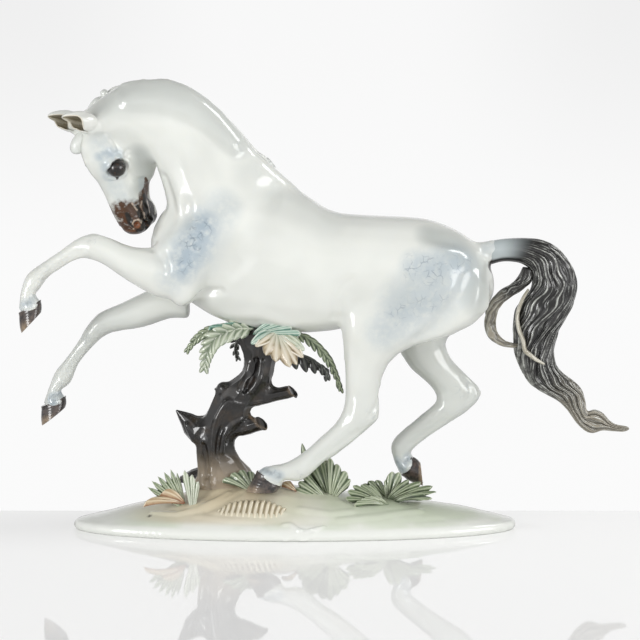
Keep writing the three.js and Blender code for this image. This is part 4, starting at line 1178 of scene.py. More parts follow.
        # Painted shade: a thin blue-grey wash that darkens the face.
        paint(clay, "blue", ((100, 142), (108, 162), (114, 184), (124, 200), (134, 206)),
              (9, 11, 10, 8, 6), 0.36,
              head=True)
        paint(clay, "blue", ((101, 156), (109, 153), (118, 155)), (5.5, 6.5, 5.5), 0.8, head=True)
        paint(clay, "blue", ((105, 164), (109, 178)), 5.5, 0.7, head=True)
        paint(clay, "blue", ((141, 180), (142, 190)), 3.2, 0.5, head=True)
        self._paint_eye(clay)
        self._paint_muzzle(clay)
        for joint, radius in (((376, 414), 7), ((480, 390), 7), ((90, 242), 5), ((86, 340), 5),
                              ((36, 290), 4), ((62, 386), 4), ((300, 476), 6), ((409, 452), 5)):
            paint(clay, "grey", (joint,), radius, 0.2, both=False)
            paint(clay, "crackle", (joint,), radius * 1.2, 0.35, both=False)
        for coronet in (((19, 309), (28, 303), (39, 298)), ((43, 402), (52, 398), (62, 394)),
                        ((259, 469), (268, 472), (279, 476)), ((397, 462), (402, 470), (408, 458))):
            paint(clay, "blue", coronet, 4.5, 0.75, both=False)
            paint(clay, "grey", coronet, 3.0, 0.34, both=False)
            paint(clay, "crackle", coronet, 5.0, 0.6, both=False)
        paint(clay, "blue", ((502, 247), (486, 249)), (9, 6), 0.4, both=False)
        paint(clay, "black", ((504, 264), (490, 268)), 4.0, 1.3, both=False)


@dataclass(frozen=True)
class Eyes:
    """Two dark glazed eyeballs.

    Args:
        down: Place below the poll.
        forward: Place in front of the poll's axis.
        right: Distance from the middle of the head.
        radius: Of an eyeball.
    """

    down: float = 31.2
    forward: float = -8.3
    right: float = 10.2
    radius: float = 5.5

    def place(self, side: Side) -> Triple:
        """Centre of an eyeball in the head's axes."""
        return self.down, self.forward, self.right * side.value

    def build(self) -> None:
        """Builds both eyeballs."""
        finish = EyeGlaze().material()
        for side in Side:
            bm = bmesh.new()
            bmesh.ops.create_uvsphere(bm, u_segments=40, v_segments=24, radius=self.radius * MM)
            bmesh.ops.translate(bm, verts=bm.verts, vec=Vector(HEAD.place(*self.place(side))) * MM)
            mesh = bpy.data.meshes.new(f"{side.name.lower()}_eye")
            bm.to_mesh(mesh)
            bm.free()
            placed(mesh, finish)


EYE = Eyes()


@dataclass(frozen=True)
class EyeGlaze:
    """Dark brown eye with paler streaks."""

    dark: str = "120d0a"
    iris: str = "3a2418"

    def material(self) -> Material:
        """Builds the finish."""
        shader = Shader("eye_glaze")
        colour = shader.mixed(self.dark, self.iris, shader.ramp(shader.cloud(1.4, 2.0), 0.5, 0.7))
        return shader.glaze(colour, 0.05, 0.0)


@dataclass(frozen=True)
class HairGlaze:
    """Dark glaze that runs off the ridges of the hair and leaves them pale, with a painted highlight along
    one edge of each lock.

    Args:
        name: Name of the material.
        dark: Colour in the grooves.
        mid: Colour on the flanks of the strands.
        pale: Colour of the ridges and of the painted highlight.
        tip: Colour towards the end of the hair.
        dock: Colour of the bare part at the root.
    """

    name: str = "hair_glaze"
    dark: str = "0d0c0b"
    mid: str = "1c1a18"
    pale: str = "c4c6bf"
    tip: str = "a39c8c"
    dock: str = "b9c2c3"

    def material(self) -> Material:
        """Builds the finish."""
        shader = Shader(self.name)
        colour = shader.mixed(self.dark, self.mid, shader.tint("flank"))
        colour = shader.mixed(colour, self.tip, shader.tint("tip"))
        worn = shader.ramp(shader.cloud(4.0, 3.0), 0.36, 0.6, 0.15, 1.0)
        ridge = shader.maths("MULTIPLY", shader.tint("ridge"), worn)
        colour = shader.mixed(colour, self.pale, ridge)
        colour = shader.mixed(colour, self.dock, shader.tint("root"))
        return shader.glaze(colour)


@dataclass
class Lock:
    """Lock of modelled hair: a tube whose outer and inner edges follow the photograph.

    Args:
        name: Name of the piece.
        edges: Pairs of pixels, one on each edge of the lock, from its root to its end.
        depths: Place of the lock's middle from front to back at each pair.
        halves: Half thickness at each pair.
        strands: Number of main strands around it.
        groove: Depth of the main grooves.
        twist: How far the strands wind round from root to end, in turns.
        bare: Share of the length at the root that is smooth.
        pale_tip: Share of the length from which the colour pales.
        unrest: How unevenly the strands run.
        seed: Varies the strands.
    """

    name: str
    edges: tuple[tuple[float, float, float, float], ...]
    depths: tuple[float, ...]
    halves: tuple[float, ...]
    strands: int = 9
    groove: float = 1.3
    twist: float = 0.6
    bare: float = 0.0
    pale_tip: float = 1.1
    unrest: float = 1.0
    seed: float = 1.0
    columns: int = 180
    rows: int = 360

    def _shape(self, across: np.ndarray, along: np.ndarray) -> Surface:
        """Points and masks of the tube."""
        line = sampled(between_edges(self.edges, self.depths, self.halves, self.rows + 1), along)
        middle, edge, half = line[:, :3], line[:, 3:6], line[:, 6]
        width = np.linalg.norm(edge, axis=1)
        angle = across * 2 * math.pi
        flow = angle + 2 * math.pi * self.twist * along + 0.5 * waves(angle * 0, along * 11, self.seed)
        unrest = self.unrest * (0.3 + 0.7 * smooth_step((along - 0.12) / 0.3))
        wander = flow * self.strands + unrest * (
            2.4 * np.sin(along * 8 + np.sin(flow) + self.seed) + 1.1 * np.sin(2 * flow + along * 15)
            + 0.6 * np.sin(3 * flow - along * 31 + 2 * np.sin(along * 13))
            + 0.55 * np.sin(along * 64 + 2 * np.sin(2 * flow)))
        main = 0.5 + 0.5 * np.cos(wander)
        fine = 0.5 + 0.5 * np.cos(wander * 3 + 2.5 * np.sin(along * 21 + 2 * flow))
        thread = 0.5 + 0.5 * np.cos(wander * 7 + 3.0 * np.sin(along * 33 + flow))
        shown = smooth_step((along - self.bare) / 0.12)
        calm = np.minimum(1.0, width / 7.0) * shown
        relief = -self.groove * calm * ((1 - main) ** 2.2 + 0.45 * (1 - fine) ** 1.5 + 0.12 * (1 - thread))
        round_end = np.sqrt(np.clip(1 - np.clip((along - 0.975) / 0.025, 0, 1) ** 2, 0.0004, 1))
        round_start = np.sqrt(np.clip(1 - np.clip((0.012 - along) / 0.012, 0, 1) ** 2, 0.0004, 1))
        closing = round_end * round_start
        out = np.cos(angle)[:, None] * edge / width[:, None] * (width + relief)[:, None]
        side = np.sin(angle) * (half + relief)
        points = middle + closing[:, None] * out
        points[:, 1] += closing * side
        ridge = smooth_step((fine - 0.74) / 0.22) * smooth_step((main - 0.3) / 0.4) * shown
        hairs = 0.7 * smooth_step((thread - 0.8) / 0.18) * smooth_step((fine - 0.4) / 0.4) * shown
        # Painted highlight: pale streaks along one edge of the lock over the middle of its length.
        painted_edge_highlight = smooth_step((-np.cos(angle) - 0.5) / 0.3) * smooth_step((along - 0.42) / 0.08)
        painted_edge_highlight = painted_edge_highlight * smooth_step((0.74 - along) / 0.1)
        paler = 1 + 0.5 * smooth_step((along - 0.5) / 0.2) + 0.8 * smooth_step((0.32 - along) / 0.1)
        ridge = np.minimum(1.0, np.maximum(ridge, hairs) * paler + 0.6 * painted_edge_highlight * (0.3 + 0.7 * main))
        tints = {
            "ridge": ridge * 0.9,
            "flank": main * 0.8 if self.groove > 0.15 else along * 0 + 1,
            "tip": smooth_step((along - self.pale_tip) / 0.25) * (0.35 + 0.65 * main),
            "root": (1 - smooth_step((along - self.bare * 0.35) / max(1.1 * self.bare, 0.01))) * smooth_step(
                (np.cos(angle) + 0.72) / 0.3) if self.bare else along * 0,
        }
        return points, tints

    def build(self, finish: Material, slot: str, castings: Sequence[str] = ()) -> Object:
        """Builds and dresses the lock.

        Args:
            finish: Its material.
            slot: Material slot of the record. Not used.
            castings: CAD nodes that it stands for.

        Returns:
            The piece.
        """
        return placed(tube(self.name, self.columns, self.rows, self._shape), finish, castings)


TAIL = Lock("tail_hair", ((487, 241.5, 489, 265), (505, 238.6, 503, 261.5), (529, 238, 517, 262.5),
    (546, 241, 527, 267), (560, 249.5, 531.5, 273), (571, 263, 531.5, 285), (577, 278, 526.5, 295),
    (577, 291, 517.5, 305), (573.5, 305, 513.5, 315), (567.5, 316, 512.2, 329), (561, 327.5, 513, 346),
    (556.5, 340, 515.5, 358), (554.5, 351, 521, 371), (556, 362.5, 529.5, 383.5), (563, 372.5, 540, 391.5),
    (574, 380.5, 554, 398.6), (582, 389.5, 563, 405.5), (585.5, 400, 570, 414), (587.5, 410.5, 578, 425),
    (595, 409.5, 587, 432), (603, 413, 594, 433), (610, 420.5, 602, 430.5), (617.5, 424.6, 612.5, 431.2),
    (630.6, 426.4, 627.5, 432.2)), (0.7,) * 24, (6, 6.5, 7.5, 9, 10.5, 11.5, 11.8, 11.8, 11.5, 11.2, 11,
    10.6, 10.2, 10, 9.6, 9, 8.2, 7.5, 6.6, 5.6, 4.8, 3.4, 2.2, 1.2), strands=11, groove=1.3, bare=0.1,
    pale_tip=0.6, twist=0.5, unrest=1.25, columns=250, rows=396)
CREAM_STRAND = Lock("tail_cream_strand", ((528, 288, 529.6, 290), (521.4, 297.4, 524.6, 299.4),
    (516.2, 310.4, 520.2, 311.6), (515.4, 321, 519.6, 320.4), (517.2, 331.4, 521.4, 329.4),
    (521, 341.2, 525.2, 339.6), (522.8, 351.6, 526.8, 348.6), (528.4, 356.6, 531, 352.6),
    (535.6, 361.6, 537.4, 358), (544.6, 365.4, 545.8, 363.8)),
    (-5.5, -6.0, -6.5, -7.0, -8.4, -9.2, -9.4, -9.6, -9.6, -9.0),
    (1.2, 2.0, 2.4, 2.5, 2.6, 2.6, 2.6, 2.4, 1.8, 0.8), strands=2, groove=0.25, twist=0.1, seed=5.0,
    columns=60, rows=120)
SIDE_LOCK = Lock("tail_side_lock_hair", ((534, 269, 523, 266), (532, 281, 518, 276), (521, 291, 510, 284),
    (508, 299.5, 499, 291), (499, 310, 488, 304.5), (496, 324, 484, 321), (499, 334, 487.5, 337),
    (505, 340, 498, 345), (514, 343, 512, 348), (519, 343.5, 519, 347)),
    (-1.2, -2.4, -3.2, -3.4, -3.6, -3.6, -3.6, -3.4, -3.0, -2.6),
    (3.2, 4.2, 4.2, 3.8, 3.5, 3.3, 3.1, 2.9, 2.4, 1.2), strands=5, groove=0.8, twist=0.4, pale_tip=0.25,
    seed=3.0, columns=90, rows=200)


@dataclass(frozen=True)
class HoofGlaze:
    """Dark horn that turns amber towards the toe."""

    dark: str = "241f1e"
    mid: str = "574b45"
    toe: str = "a8937a"

    def material(self) -> Material:
        """Builds the finish."""
        shader = Shader("hoof_glaze")
        colour = shader.mixed(self.dark, self.mid, shader.ramp(shader.cloud(3.0), 0.35, 0.7))
        streaks = shader.ramp(shader.cloud(2.0, 3.0), 0.3, 0.7, 0.55, 1.0)
        colour = shader.mixed(colour, self.toe, shader.maths("MULTIPLY", shader.tint("toe"), streaks))
        return shader.glaze(colour)


@dataclass(frozen=True)
class Hoof:
    """Hoof between its coronet and its sole.

    Args:
        name: Name of the piece.
        edges: Pairs of pixels, front and heel, from the coronet to the sole.
        depth: Place of the hoof's middle from front to back.
        halves: Half thickness at each pair.
        sole_shows: Whether the sole is turned to the viewer, which is then the paler part.
    """

    name: str
    edges: tuple[tuple[float, float, float, float], ...]
    depth: float
    halves: tuple[float, ...] = (5.6, 6.6, 7.3, 7.8)
    sole_shows: bool = False
    columns: int = 72
    rows: int = 60

    def stations(self, count: int) -> np.ndarray:
        """Middle, edge direction and half size from coronet to sole."""
        return between_edges(self.edges, (self.depth,) * len(self.edges), self.halves, count)

    def _shape(self, across: np.ndarray, along: np.ndarray) -> Surface:
        """Points and masks of the hoof."""
        stations = self.stations(61)
        inner = np.clip((along - 0.12) / 0.68, 0.0, 1.0)
        line = sampled(stations, inner)
        angle = across * 2 * math.pi
        top = np.clip(along / 0.12, 0.0, 1.0)
        sole = np.clip((1.0 - along) / 0.2, 0.0, 1.0)
        size = np.sqrt(np.clip(1 - (1 - top) ** 2, 0.0, 1.0)) * np.clip(sole * 1.02, 0.0, 1.0)
        bulge = 0.35 * np.exp(-((inner - 0.03) / 0.07) ** 2) * (along < 0.8)
        ring = 0.025 * np.cos(inner * 42) * (inner > 0.1) * (inner < 0.95)
        middle, edge, half = line[:, :3], line[:, 3:6], line[:, 6]
        width = np.linalg.norm(edge, axis=1)
        out = edge / width[:, None] * (np.cos(angle) * size * (width + bulge + ring))[:, None]
        points = middle + out
        points[:, 1] += np.sin(angle) * size * (half + bulge + ring)
        axis = unit(stations[-1, :3] - stations[0, :3])
        points += axis * (-0.8 * (1 - sole) ** 2 * (along > 0.8) * 1.2)[:, None]
        toe = smooth_step((inner - 0.45) / 0.5) * smooth_step((np.cos(angle) + 0.4) / 1.2)
        if self.sole_shows:
            toe = 0.85 * smooth_step((inner - 0.72) / 0.2)
        return points, {"toe": toe}

    def build(self, finish: Material) -> Object:
        """Builds and dresses the hoof."""
        return placed(tube(self.name, self.columns, self.rows, self._shape), finish)


HOOVES = (
    Hoof("left_fore_hoof", ((19.2, 312.5, 40.4, 300.0), (19.4, 320, 41.4, 304.0), (20.0, 327, 41.6, 308.5),
        (21.6, 333.0, 41.0, 312.4)), -17.6),
    Hoof("right_fore_hoof", ((41.8, 406, 65.4, 396.0), (41.4, 412, 66.2, 400.0), (41.2, 418, 66.2, 403.8),
        (42.0, 425.2, 65.2, 407.2)), 16.4),
    Hoof("left_hind_hoof", ((257.6, 470.6, 280.8, 482.4), (253.8, 477, 281.2, 485.0),
        (249.6, 484, 280.0, 488.0), (245.8, 490.4, 277.0, 491.2)), -18.6),
    Hoof("right_hind_hoof", ((401.4, 474.5, 411.0, 456.0), (406.8, 479.2, 414.4, 457.4),
        (414.4, 483, 417.4, 459.4), (422.8, 485.6, 420.4, 462.6)), 16.4, (5.2, 5.8, 6.2, 6.4), True),
)


@dataclass(frozen=True)
class EarGlaze:
    """White ear that is brown-grey with cream ridges inside."""

    white: str = "e9eae4"
    inside: str = "a39880"
    ridge: str = "e2dccb"

    def material(self) -> Material:
        """Builds the finish."""
        shader = Shader("ear_glaze")
        hollow = shader.mixed(self.inside, self.ridge, shader.tint("rib"))
        colour = shader.mixed(hollow, self.white, shader.tint("back"))
        colour = shader.mixed(colour, self.ridge, shader.tint("edge"))
        return shader.glaze(colour)


@dataclass(frozen=True)
class Ear:
    """Cupped, pointed ear whose hollow faces forward and down.

    Args:
        side: Side of the head.
        root: Place of its root in the head's axes, for the right side.
        tip: Place of its tip, for the right side.
        radius: Widest radius of the cup.
    """

    side: Side
    root: Triple = (6.5, -10.5, 8.6)
    tip: Triple = (-12.0, 10.0, 7.5)
    radius: float = 5.0

    def _shape(self, across: np.ndarray, along: np.ndarray) -> Surface:
        """Points and masks of the cup."""
        turn = self.side.value
        root = HEAD.place(self.root[0], self.root[1], self.root[2] * turn)
        tip = HEAD.place(self.tip[0], self.tip[1], self.tip[2] * turn)
        axis = unit(tip - root)
        opening = HEAD.down * 0.9 + HEAD.forward * 0.35 - HEAD.right * 0.5
        opening = unit(opening - axis * (opening @ axis))
        other = np.cross(axis, opening)
        spread = np.radians(176 - 92 * smooth_step((along - 0.46) / 0.3))
        swing = (across - 0.5) * 2 * spread
        width = self.radius * (0.5 + 0.5 * smooth_step(along / 0.4)) * (1.0 + 0.1 * np.sin(along * 4))
        width = width * np.sqrt(np.clip(1 - np.clip((along - 0.42) / 0.58, 0, 1) ** 1.8, 0.0008, 1))
        ribs = 0.35 * np.cos(swing * 5.0) * smooth_step((along - 0.4) / 0.2)
        reach = width - ribs * (width / self.radius)
        lean = 1.6 * smooth_step(along) * along
        points = root + along[:, None] * (tip - root) - (np.cos(swing) * reach)[:, None] * opening + (
            np.sin(swing) * reach)[:, None] * other + lean[:, None] * opening
        edge = smooth_step((np.abs(across - 0.5) - 0.43) / 0.05)
        hollow = np.cos(swing * 5.0) > 0.6
        return points, {"edge": edge * smooth_step((along - 0.45) / 0.15), "rib": hollow * 0.7}

    def build(self, finish: Material, casting: str) -> Object:
        """Builds and dresses the ear.

        Args:
            finish: Its material.
            casting: CAD node that it stands for.
        """
        mesh = sheet(f"{self.side.name.lower()}_ear_shell", 64, 70, self._shape, 1.2)
        return placed(mesh, finish, (casting,))


@dataclass(frozen=True)
class Mane:
    """Short mane that lies on the far side of the neck, with its crest along the top.

    Args:
        crest: Pixels along the top line, from the poll to the withers.
        seat: Distance from the top line to the axis that the locks are laid round.
        thickness: Of a lock at its middle.
        locks: Number of locks.
    """

    crest: tuple[Pixel, ...] = ((90, 112), (100, 100), (110, 93), (124, 85), (142, 81), (159, 80), (175, 82),
                                (192, 88.5), (209, 99), (223, 112), (234, 124), (246, 138),
                                (257, 154), (268, 163))
    seat: float = 30.0
    thickness: float = 2.0
    locks: int = 15

    def build(self, skin: Clay, finish: Material) -> Object:
        """Lays the mane over the neck.

        Args:
            skin: The horse's skin.
            finish: Its material.
        """
        tops = smooth_path(np.array([at_depth(spot, 0.4) for spot in self.crest]), 200)
        slopes = np.gradient(tops, axis=0)
        slopes /= np.linalg.norm(slopes, axis=1)[:, None]
        inward = np.stack((-slopes[:, 2], slopes[:, 1] * 0, slopes[:, 0]), axis=1)
        inward[inward[:, 2] > 0] *= -1
        tree = skin.tree

        def place(across: np.ndarray, along: np.ndarray) -> Surface:
            """Points and masks of the sheet of hair."""
            top, down = sampled(tops, along), sampled(inward, along)
            phase = along * self.locks + 0.5 * across + 0.25 * waves(along * 19, across * 2, 2.0)
            lock = np.abs(np.sin(math.pi * phase))
            shape = np.sin(math.pi * np.clip(along, 0.0, 1.0)) ** 0.45
            reach = np.radians(12 + 74 * shape * (0.8 + 0.2 * lock))
            angle = np.radians(-1.0) + across * reach
            axis = top + down * self.seat
            ray = -down * np.cos(angle)[:, None]
            ray[:, 1] += np.sin(angle)
            points = np.empty_like(top)
            fine = np.abs(np.sin(math.pi * phase * 4 + 2 * across))
            border = smooth_step(across / 0.06) * smooth_step((1 - across) / 0.25) * smooth_step(
                along / 0.03) * smooth_step((1 - along) / 0.03)
            full = 0.35 + 0.65 * smooth_step(across / 0.3)
            lift = 0.1 + self.thickness * border * full * (0.55 + 0.45 * lock ** 0.7) + 0.2 * border * fine
            for number, (start, direction) in enumerate(zip(axis, ray)):
                spot = tree.ray_cast(Vector(start), Vector(direction))[0]
                if spot is None:
                    spot = tree.find_nearest(Vector(start + direction * self.seat))[0]
                points[number] = np.array(spot) + direction * lift[number]
            return points, {"groove": (1 - lock) ** 2 * border}

        mesh = sheet("mane_sheet", 40, 420, place, 1.2)
        return placed(mesh, finish, ("mane",))


@dataclass(frozen=True)
class ManeGlaze:
    """White hair with grey in its grooves."""

    white: str = "e9ebe5"
    groove: str = "9aa09d"

    def material(self) -> Material:
        """Builds the finish."""
        shader = Shader("mane_glaze")
        colour = shader.mixed(self.white, self.groove, shader.tint("groove"))
        return shader.glaze(colour)


@dataclass(frozen=True)
class WhiteLockGlaze:
    """Pale lock that is greyer between its strands."""

    name: str = "white_lock_glaze"
    white: str = "e6e9e4"
    groove: str = "b9bdb8"

    def material(self) -> Material:
        """Builds the finish."""
        shader = Shader(self.name)
        return shader.glaze(shader.mixed(self.groove, self.white, shader.tint("flank")))


WHITE_LOCKS = (
    Lock("forelock_curl", ((88, 127, 94, 133), (79.5, 131.5, 87, 138), (73, 138, 84, 144),
        (70.0, 146, 83, 148), (71, 151.5, 81.5, 152.5), (74.5, 154.2, 78, 154.4)), (-9.8,) * 6,
        (3.0, 4.2, 5.4, 5.6, 4.6, 2.2), strands=1, groove=0.0, twist=0.1, seed=2.0, columns=60, rows=80),
    Lock("poll_knob", ((109, 92, 110, 98), (106, 89.4, 107, 98), (103, 89.2, 103.5, 98.5),
        (100, 92, 101.5, 98.5)), (0.4,) * 4, (2.4, 3.8, 3.8, 2.2), strands=1, groove=0.1, columns=48,
        rows=50),
    Lock("poll_lock", ((101, 96, 105, 102), (95, 98, 101, 106), (89.5, 104, 96, 111), (87, 110, 92, 115.5),
        (86.5, 114.5, 89, 118)), (-0.6,) * 5, (2.4, 4.2, 4.4, 3.4, 1.6), strands=1, groove=0.15, columns=48,
        rows=70),
    Lock("poll_tuft", ((91, 112, 94, 120), (86, 113.5, 89, 120.5), (83.3, 116, 85.5, 121)), (-2.0,) * 3,
        (2.6, 3.0, 1.6), strands=1, groove=0.1, columns=40, rows=40),
    Lock("wither_lock", ((254, 151, 252, 158), (262.4, 156.5, 259, 163), (268.2, 157.9, 265, 166),
        (273, 163, 270, 168), (276, 167.6, 275, 169)), (5.0,) * 5, (2.6, 3.0, 2.8, 2.0, 0.9), strands=2,
        groove=0.3, seed=4.0, columns=48, rows=60),
)


@dataclass(frozen=True)
class BarkGlaze:
    """Near-black bark, browner at its foot and on worn ridges."""

    black: str = "1b1918"
    brown: str = "33291f"
    worn: str = "6a5a48"
    foot: str = "a6967f"

    def material(self) -> Material:
        """Builds the finish."""
        shader = Shader("bark_glaze")
        colour = shader.mixed(self.black, self.brown, shader.ramp(shader.cloud(7.0), 0.45, 0.75))
        colour = shader.mixed(colour, self.worn, shader.tint("ridge"))
        colour = shader.mixed(colour, self.foot, shader.tint("foot"))
        return shader.glaze(colour, 0.1, 0.08)


@dataclass
class Stump:
    """Twisted stump with its branch stubs, in one dark glazed surface."""

    castings: tuple[str, ...] = ("tree_trunk", "left_spike_branch", "knot_stub", "upper_right_stub",
                                 "lower_right_stub", "back_root")
    strokes: tuple[Stroke, ...] = (
        Stroke(((202, 484), (200, 462), (196, 442), (187, 425)), (3.6, 3.2, 2.8, 2.2), 1.3, 1.3),
        Stroke(((207.0, 477), (206, 462), (203.5, 446)), (2.0, 3.0, 2.4), -1.8, 1.4),
        Stroke(((212, 482), (211.5, 456), (213, 438), (217, 418), (226, 403)), (2.8, 2.6, 2.6, 2.4, 2.4),
            1.3, 1.3),
        Stroke(((217.5, 458), (218, 444), (222, 428)), (1.4, 2.2, 1.8), -1.2),
        Stroke(((221, 452), (223, 436), (232, 425), (243, 418)), (2.2, 2.4, 2.4, 1.8), 1.2, 1.4),
        Stroke(((226, 444), (231, 434), (241, 427)), (1.4, 1.6, 1.2), -0.8),
        Stroke(((245, 392), (250, 382), (254, 370), (256, 360)), (1.8, 2.6, 3.0, 2.2), -2.6, 1.4),
        Stroke(((240, 390), (245, 376), (249, 362)), (2.2, 2.6, 2.2), 0.9),
        Stroke(((252, 392), (259, 378), (262, 362)), (2.2, 2.6, 2.2), 0.9),
        Stroke(((228, 400), (236, 404), (250, 405), (270, 401)), (2.0, 2.4, 2.4, 1.6), 0.7),
    )

    def build(self) -> Object:
        """Builds and dresses the stump."""
        lumps = (Lump(np.array((-59.5, 2.0, 22.0)), (15.0, 13.0, 11.0)),
                 Lump(np.array((-46.0, -2.0, 24.0)), (10.0, 8.0, 6.5)),
                 Lump(np.array(at_depth((224, 389), -1.0)), (4.6, 4.4, 4.4)))
        clay = Clay("stump", self.castings, 0.7, lambda points: np.full(len(points), 2.6), lumps)
        clay.relax(30, step=0.3)
        clay.write()
        clay.carve(self.strokes)
        clay.melt(2)
        clay.write()
        x, y, z = clay.points.T
        centre = np.interp(z, (15, 30, 50, 70, 90, 110, 125), (-58, -61, -57, -57, -52, -45, -42))
        angle = np.arctan2(y - 1.0, x - centre)
        flow = 7 * angle + 0.09 * z + 0.8 * waves(angle * 2, z * 0.07, 1.0)
        ridges = np.cos(flow)
        reach = smooth_step((118 - z) / 12) * (np.hypot(x - centre, y) < 17)
        hidden = smooth_step((y + 2.0) / 6.0)
        clay.raise_by((0.6 * ridges - 0.25) * reach * hidden)
        clay.tint("ridge", smooth_step((ridges - 0.55) / 0.6) * reach * hidden * 0.4)
        clay.tint("foot", smooth_step((50 - z) / 25) * smooth_step((11 - y) / 5))
        for spots in (((250.4, 416.4), (258, 415.2), (265, 420), (267, 429)),
                      ((289.4, 385.8), (294, 388), (299, 393))):
            clay.tint("ridge", clay.reach(clay.trace(spots), np.full(len(spots), 1.7)))
        return clay.finish(BarkGlaze().material(), "bark_black", self.castings)


@dataclass(frozen=True)
class GroundGlaze:
    """Pale green ground, sandy round the stump, with a white rim, and whitened at its left end as painted
    light.
    """

    green: str = "e2e8d8"
    pale: str = "f2f3ec"
    sand: str = "d6c8aa"
    moss: str = "bfc9ae"
    rim: str = "eef0ea"
    speck: str = "2a2623"

    def material(self) -> Material:
        """Builds the finish."""
        shader = Shader("ground_glaze")
        colour = shader.mixed(self.pale, self.green, shader.ramp(shader.cloud(24.0), 0.35, 0.65))
        colour = shader.mixed(colour, self.moss, shader.tint("moss"))
        colour = shader.mixed(colour, self.sand, shader.tint("sand"))
        colour = shader.mixed(colour, self.rim, shader.tint("rim"))
        colour = shader.mixed(colour, self.speck, shader.tint("speck"))
        return shader.glaze(colour, 0.24, 0.24)


@dataclass
class Ground:
    """Mound that the figurine stands on."""

    centre: tuple[float, float] = (-19.04, 0.39)
    half: tuple[float, float] = (131.0, 43.0)
    strokes: tuple[Stroke, ...] = (
        Stroke(((228, 492), (214, 501), (198, 509), (176, 513), (152, 512)), (3.0, 3.4, 3.4, 3.2, 2.4), 0.9,
            2.0),
        Stroke(((240, 494), (222, 504), (206, 511)), (3, 3, 2.4), -0.7),
        Stroke(((216, 513), (250, 515), (284, 513)), 3.0, 0.6, 2.0),
        Stroke(((196, 516), (230, 520), (262, 521)), 3.0, 0.5),
        Stroke(((300, 509), (330, 513), (352, 511)), 4.0, 0.6),
        Stroke(((340, 520), (380, 516), (420, 510)), 4.0, 0.6),
        Stroke(((284, 524.5), (290, 524), (294, 527), (300, 531)), (1.8, 2.0, 1.8, 1.4), 0.9, 1.2),
        Stroke(((300, 531), (305, 532.5), (311, 531)), 2.0, 0.9, 1.2),
        Stroke(((311, 531), (316, 529.5), (324, 527)), (1.8, 2.0, 1.2), 0.9, 1.2),
    )

    def build(self) -> Object:
        """Builds and dresses the mound."""
        clay = Clay("ground", ("plinth",), 1.1, lambda points: np.zeros(len(points)))
        clay.relax(20, step=0.3)
        clay.write()
        path = clay.trace(((240, 492), (216, 502), (198, 509), (176, 513), (146, 514)))
        clay.melt(60, np.clip(2 * clay.reach(path, np.array((8.0, 10.0, 11.0, 11.0, 8.0))), 0.0, 1.0))
        clay.write()
        clay.carve(self.strokes)
        x, y, z = clay.points.T
        away = np.hypot((x - self.centre[0]) / self.half[0], (y - self.centre[1]) / self.half[1])
        top = smooth_step((z - 6.0) / 4.0) * smooth_step((0.96 - away) / 0.12)
        near = np.hypot(x + 60, 1.3 * (y + 2))
        swirl = np.cos(near * 0.35 + 2 * np.arctan2(y + 2, x + 60) + waves(x * 0.04, y * 0.05, 2.0)) * np.exp(
            -(near / 42) ** 2)
        rolling = waves(x * 0.05, y * 0.08, 5.0)
        clay.raise_by(top * (0.55 * swirl + 0.5 * rolling - 0.3))
        clay.points[:, 2] = np.maximum(clay.points[:, 2], 0.0)
        clay.tint("sand", top * np.clip(np.exp(-(np.hypot(x + 62, 1.2 * (y + 8)) / 46) ** 2) * 1.1, 0, 1))
        clay.tint("moss", top * np.clip(np.exp(-(np.hypot(x - 30, 2.4 * (y + 6)) / 56) ** 2), 0, 1))
        clay.tint("rim", smooth_step((away - 0.93) / 0.05))
        # Painted light: the left end of the mound is whitened.
        clay.tint("rim", 0.8 * smooth_step((-105 - x) / 25))
        clay.tint("speck", clay.reach(np.array([clay.cast((149.5, 516))]), np.array([1.5])))
        self.clay = clay
        return clay.finish(GroundGlaze().material(), "ground_green", ("plinth",))


@dataclass(frozen=True)
class LeafGlaze:
    """Glaze of a leaf: dark in its folds, partly its own darker green and partly painted shade, and pale on
    its ribs and along its border.

    Args:
        name: Name of the material.
        fold: Colour in the folds, partly painted shade.
        face: Colour between folds and ribs.
        rib: Colour of the ribs and the border.
        root: Colour where the leaf starts.
    """

    name: str
    fold: str
    face: str
    rib: str
    root: str

    def material(self) -> Material:
        """Builds the finish."""
        shader = Shader(self.name)
        cloud = shader.ramp(shader.cloud(6.0), 0.3, 0.7, -0.25, 0.25)
        blend = shader.maths("ADD", shader.tint("height"), cloud)
        colour = shader.mixed(self.fold, self.face, shader.ramp(blend, 0.1, 0.7))
        colour = shader.mixed(colour, self.root, shader.tint("base"))
        colour = shader.mixed(colour, self.rib, shader.tint("rib"))
        return shader.glaze(colour, 0.12, 0.06)


SAGE = LeafGlaze("sage_leaf_glaze", "4a5841", "7f8e6f", "cdd3b9", "617156")
MOSS = LeafGlaze("moss_leaf_glaze", "3c4735", "6b7a5a", "b4bd9f", "47553e")
CREAM = LeafGlaze("cream_leaf_glaze", "8b795c", "cfc1a6", "f2ecde", "8a9a80")
PALE = LeafGlaze("pale_leaf_glaze", "7e8b72", "b3bda3", "e6e9db", "71806a")
TEAL = LeafGlaze("teal_leaf_glaze", "2b493f", "4f7968", "92b3a3", "2e4a40")
MIST = LeafGlaze("mist_leaf_glaze", "567d6e", "8fb0a0", "dde6da", "4f7968")
# The dark leaves are near black, partly their own dark undersides and partly painted shade; their pale rib
# colour is partly a painted highlight along the spines.
DARK = LeafGlaze("dark_leaf_glaze", "18191a", "2b2c2b", "73766f", "18191a")
SHELL = LeafGlaze("shell_glaze", "b0a386", "cabc9d", "f2ead4", "c0b99e")
RUST = LeafGlaze("rust_leaf_glaze", "9c7656", "bfa482", "e8dcbe", "93553a")


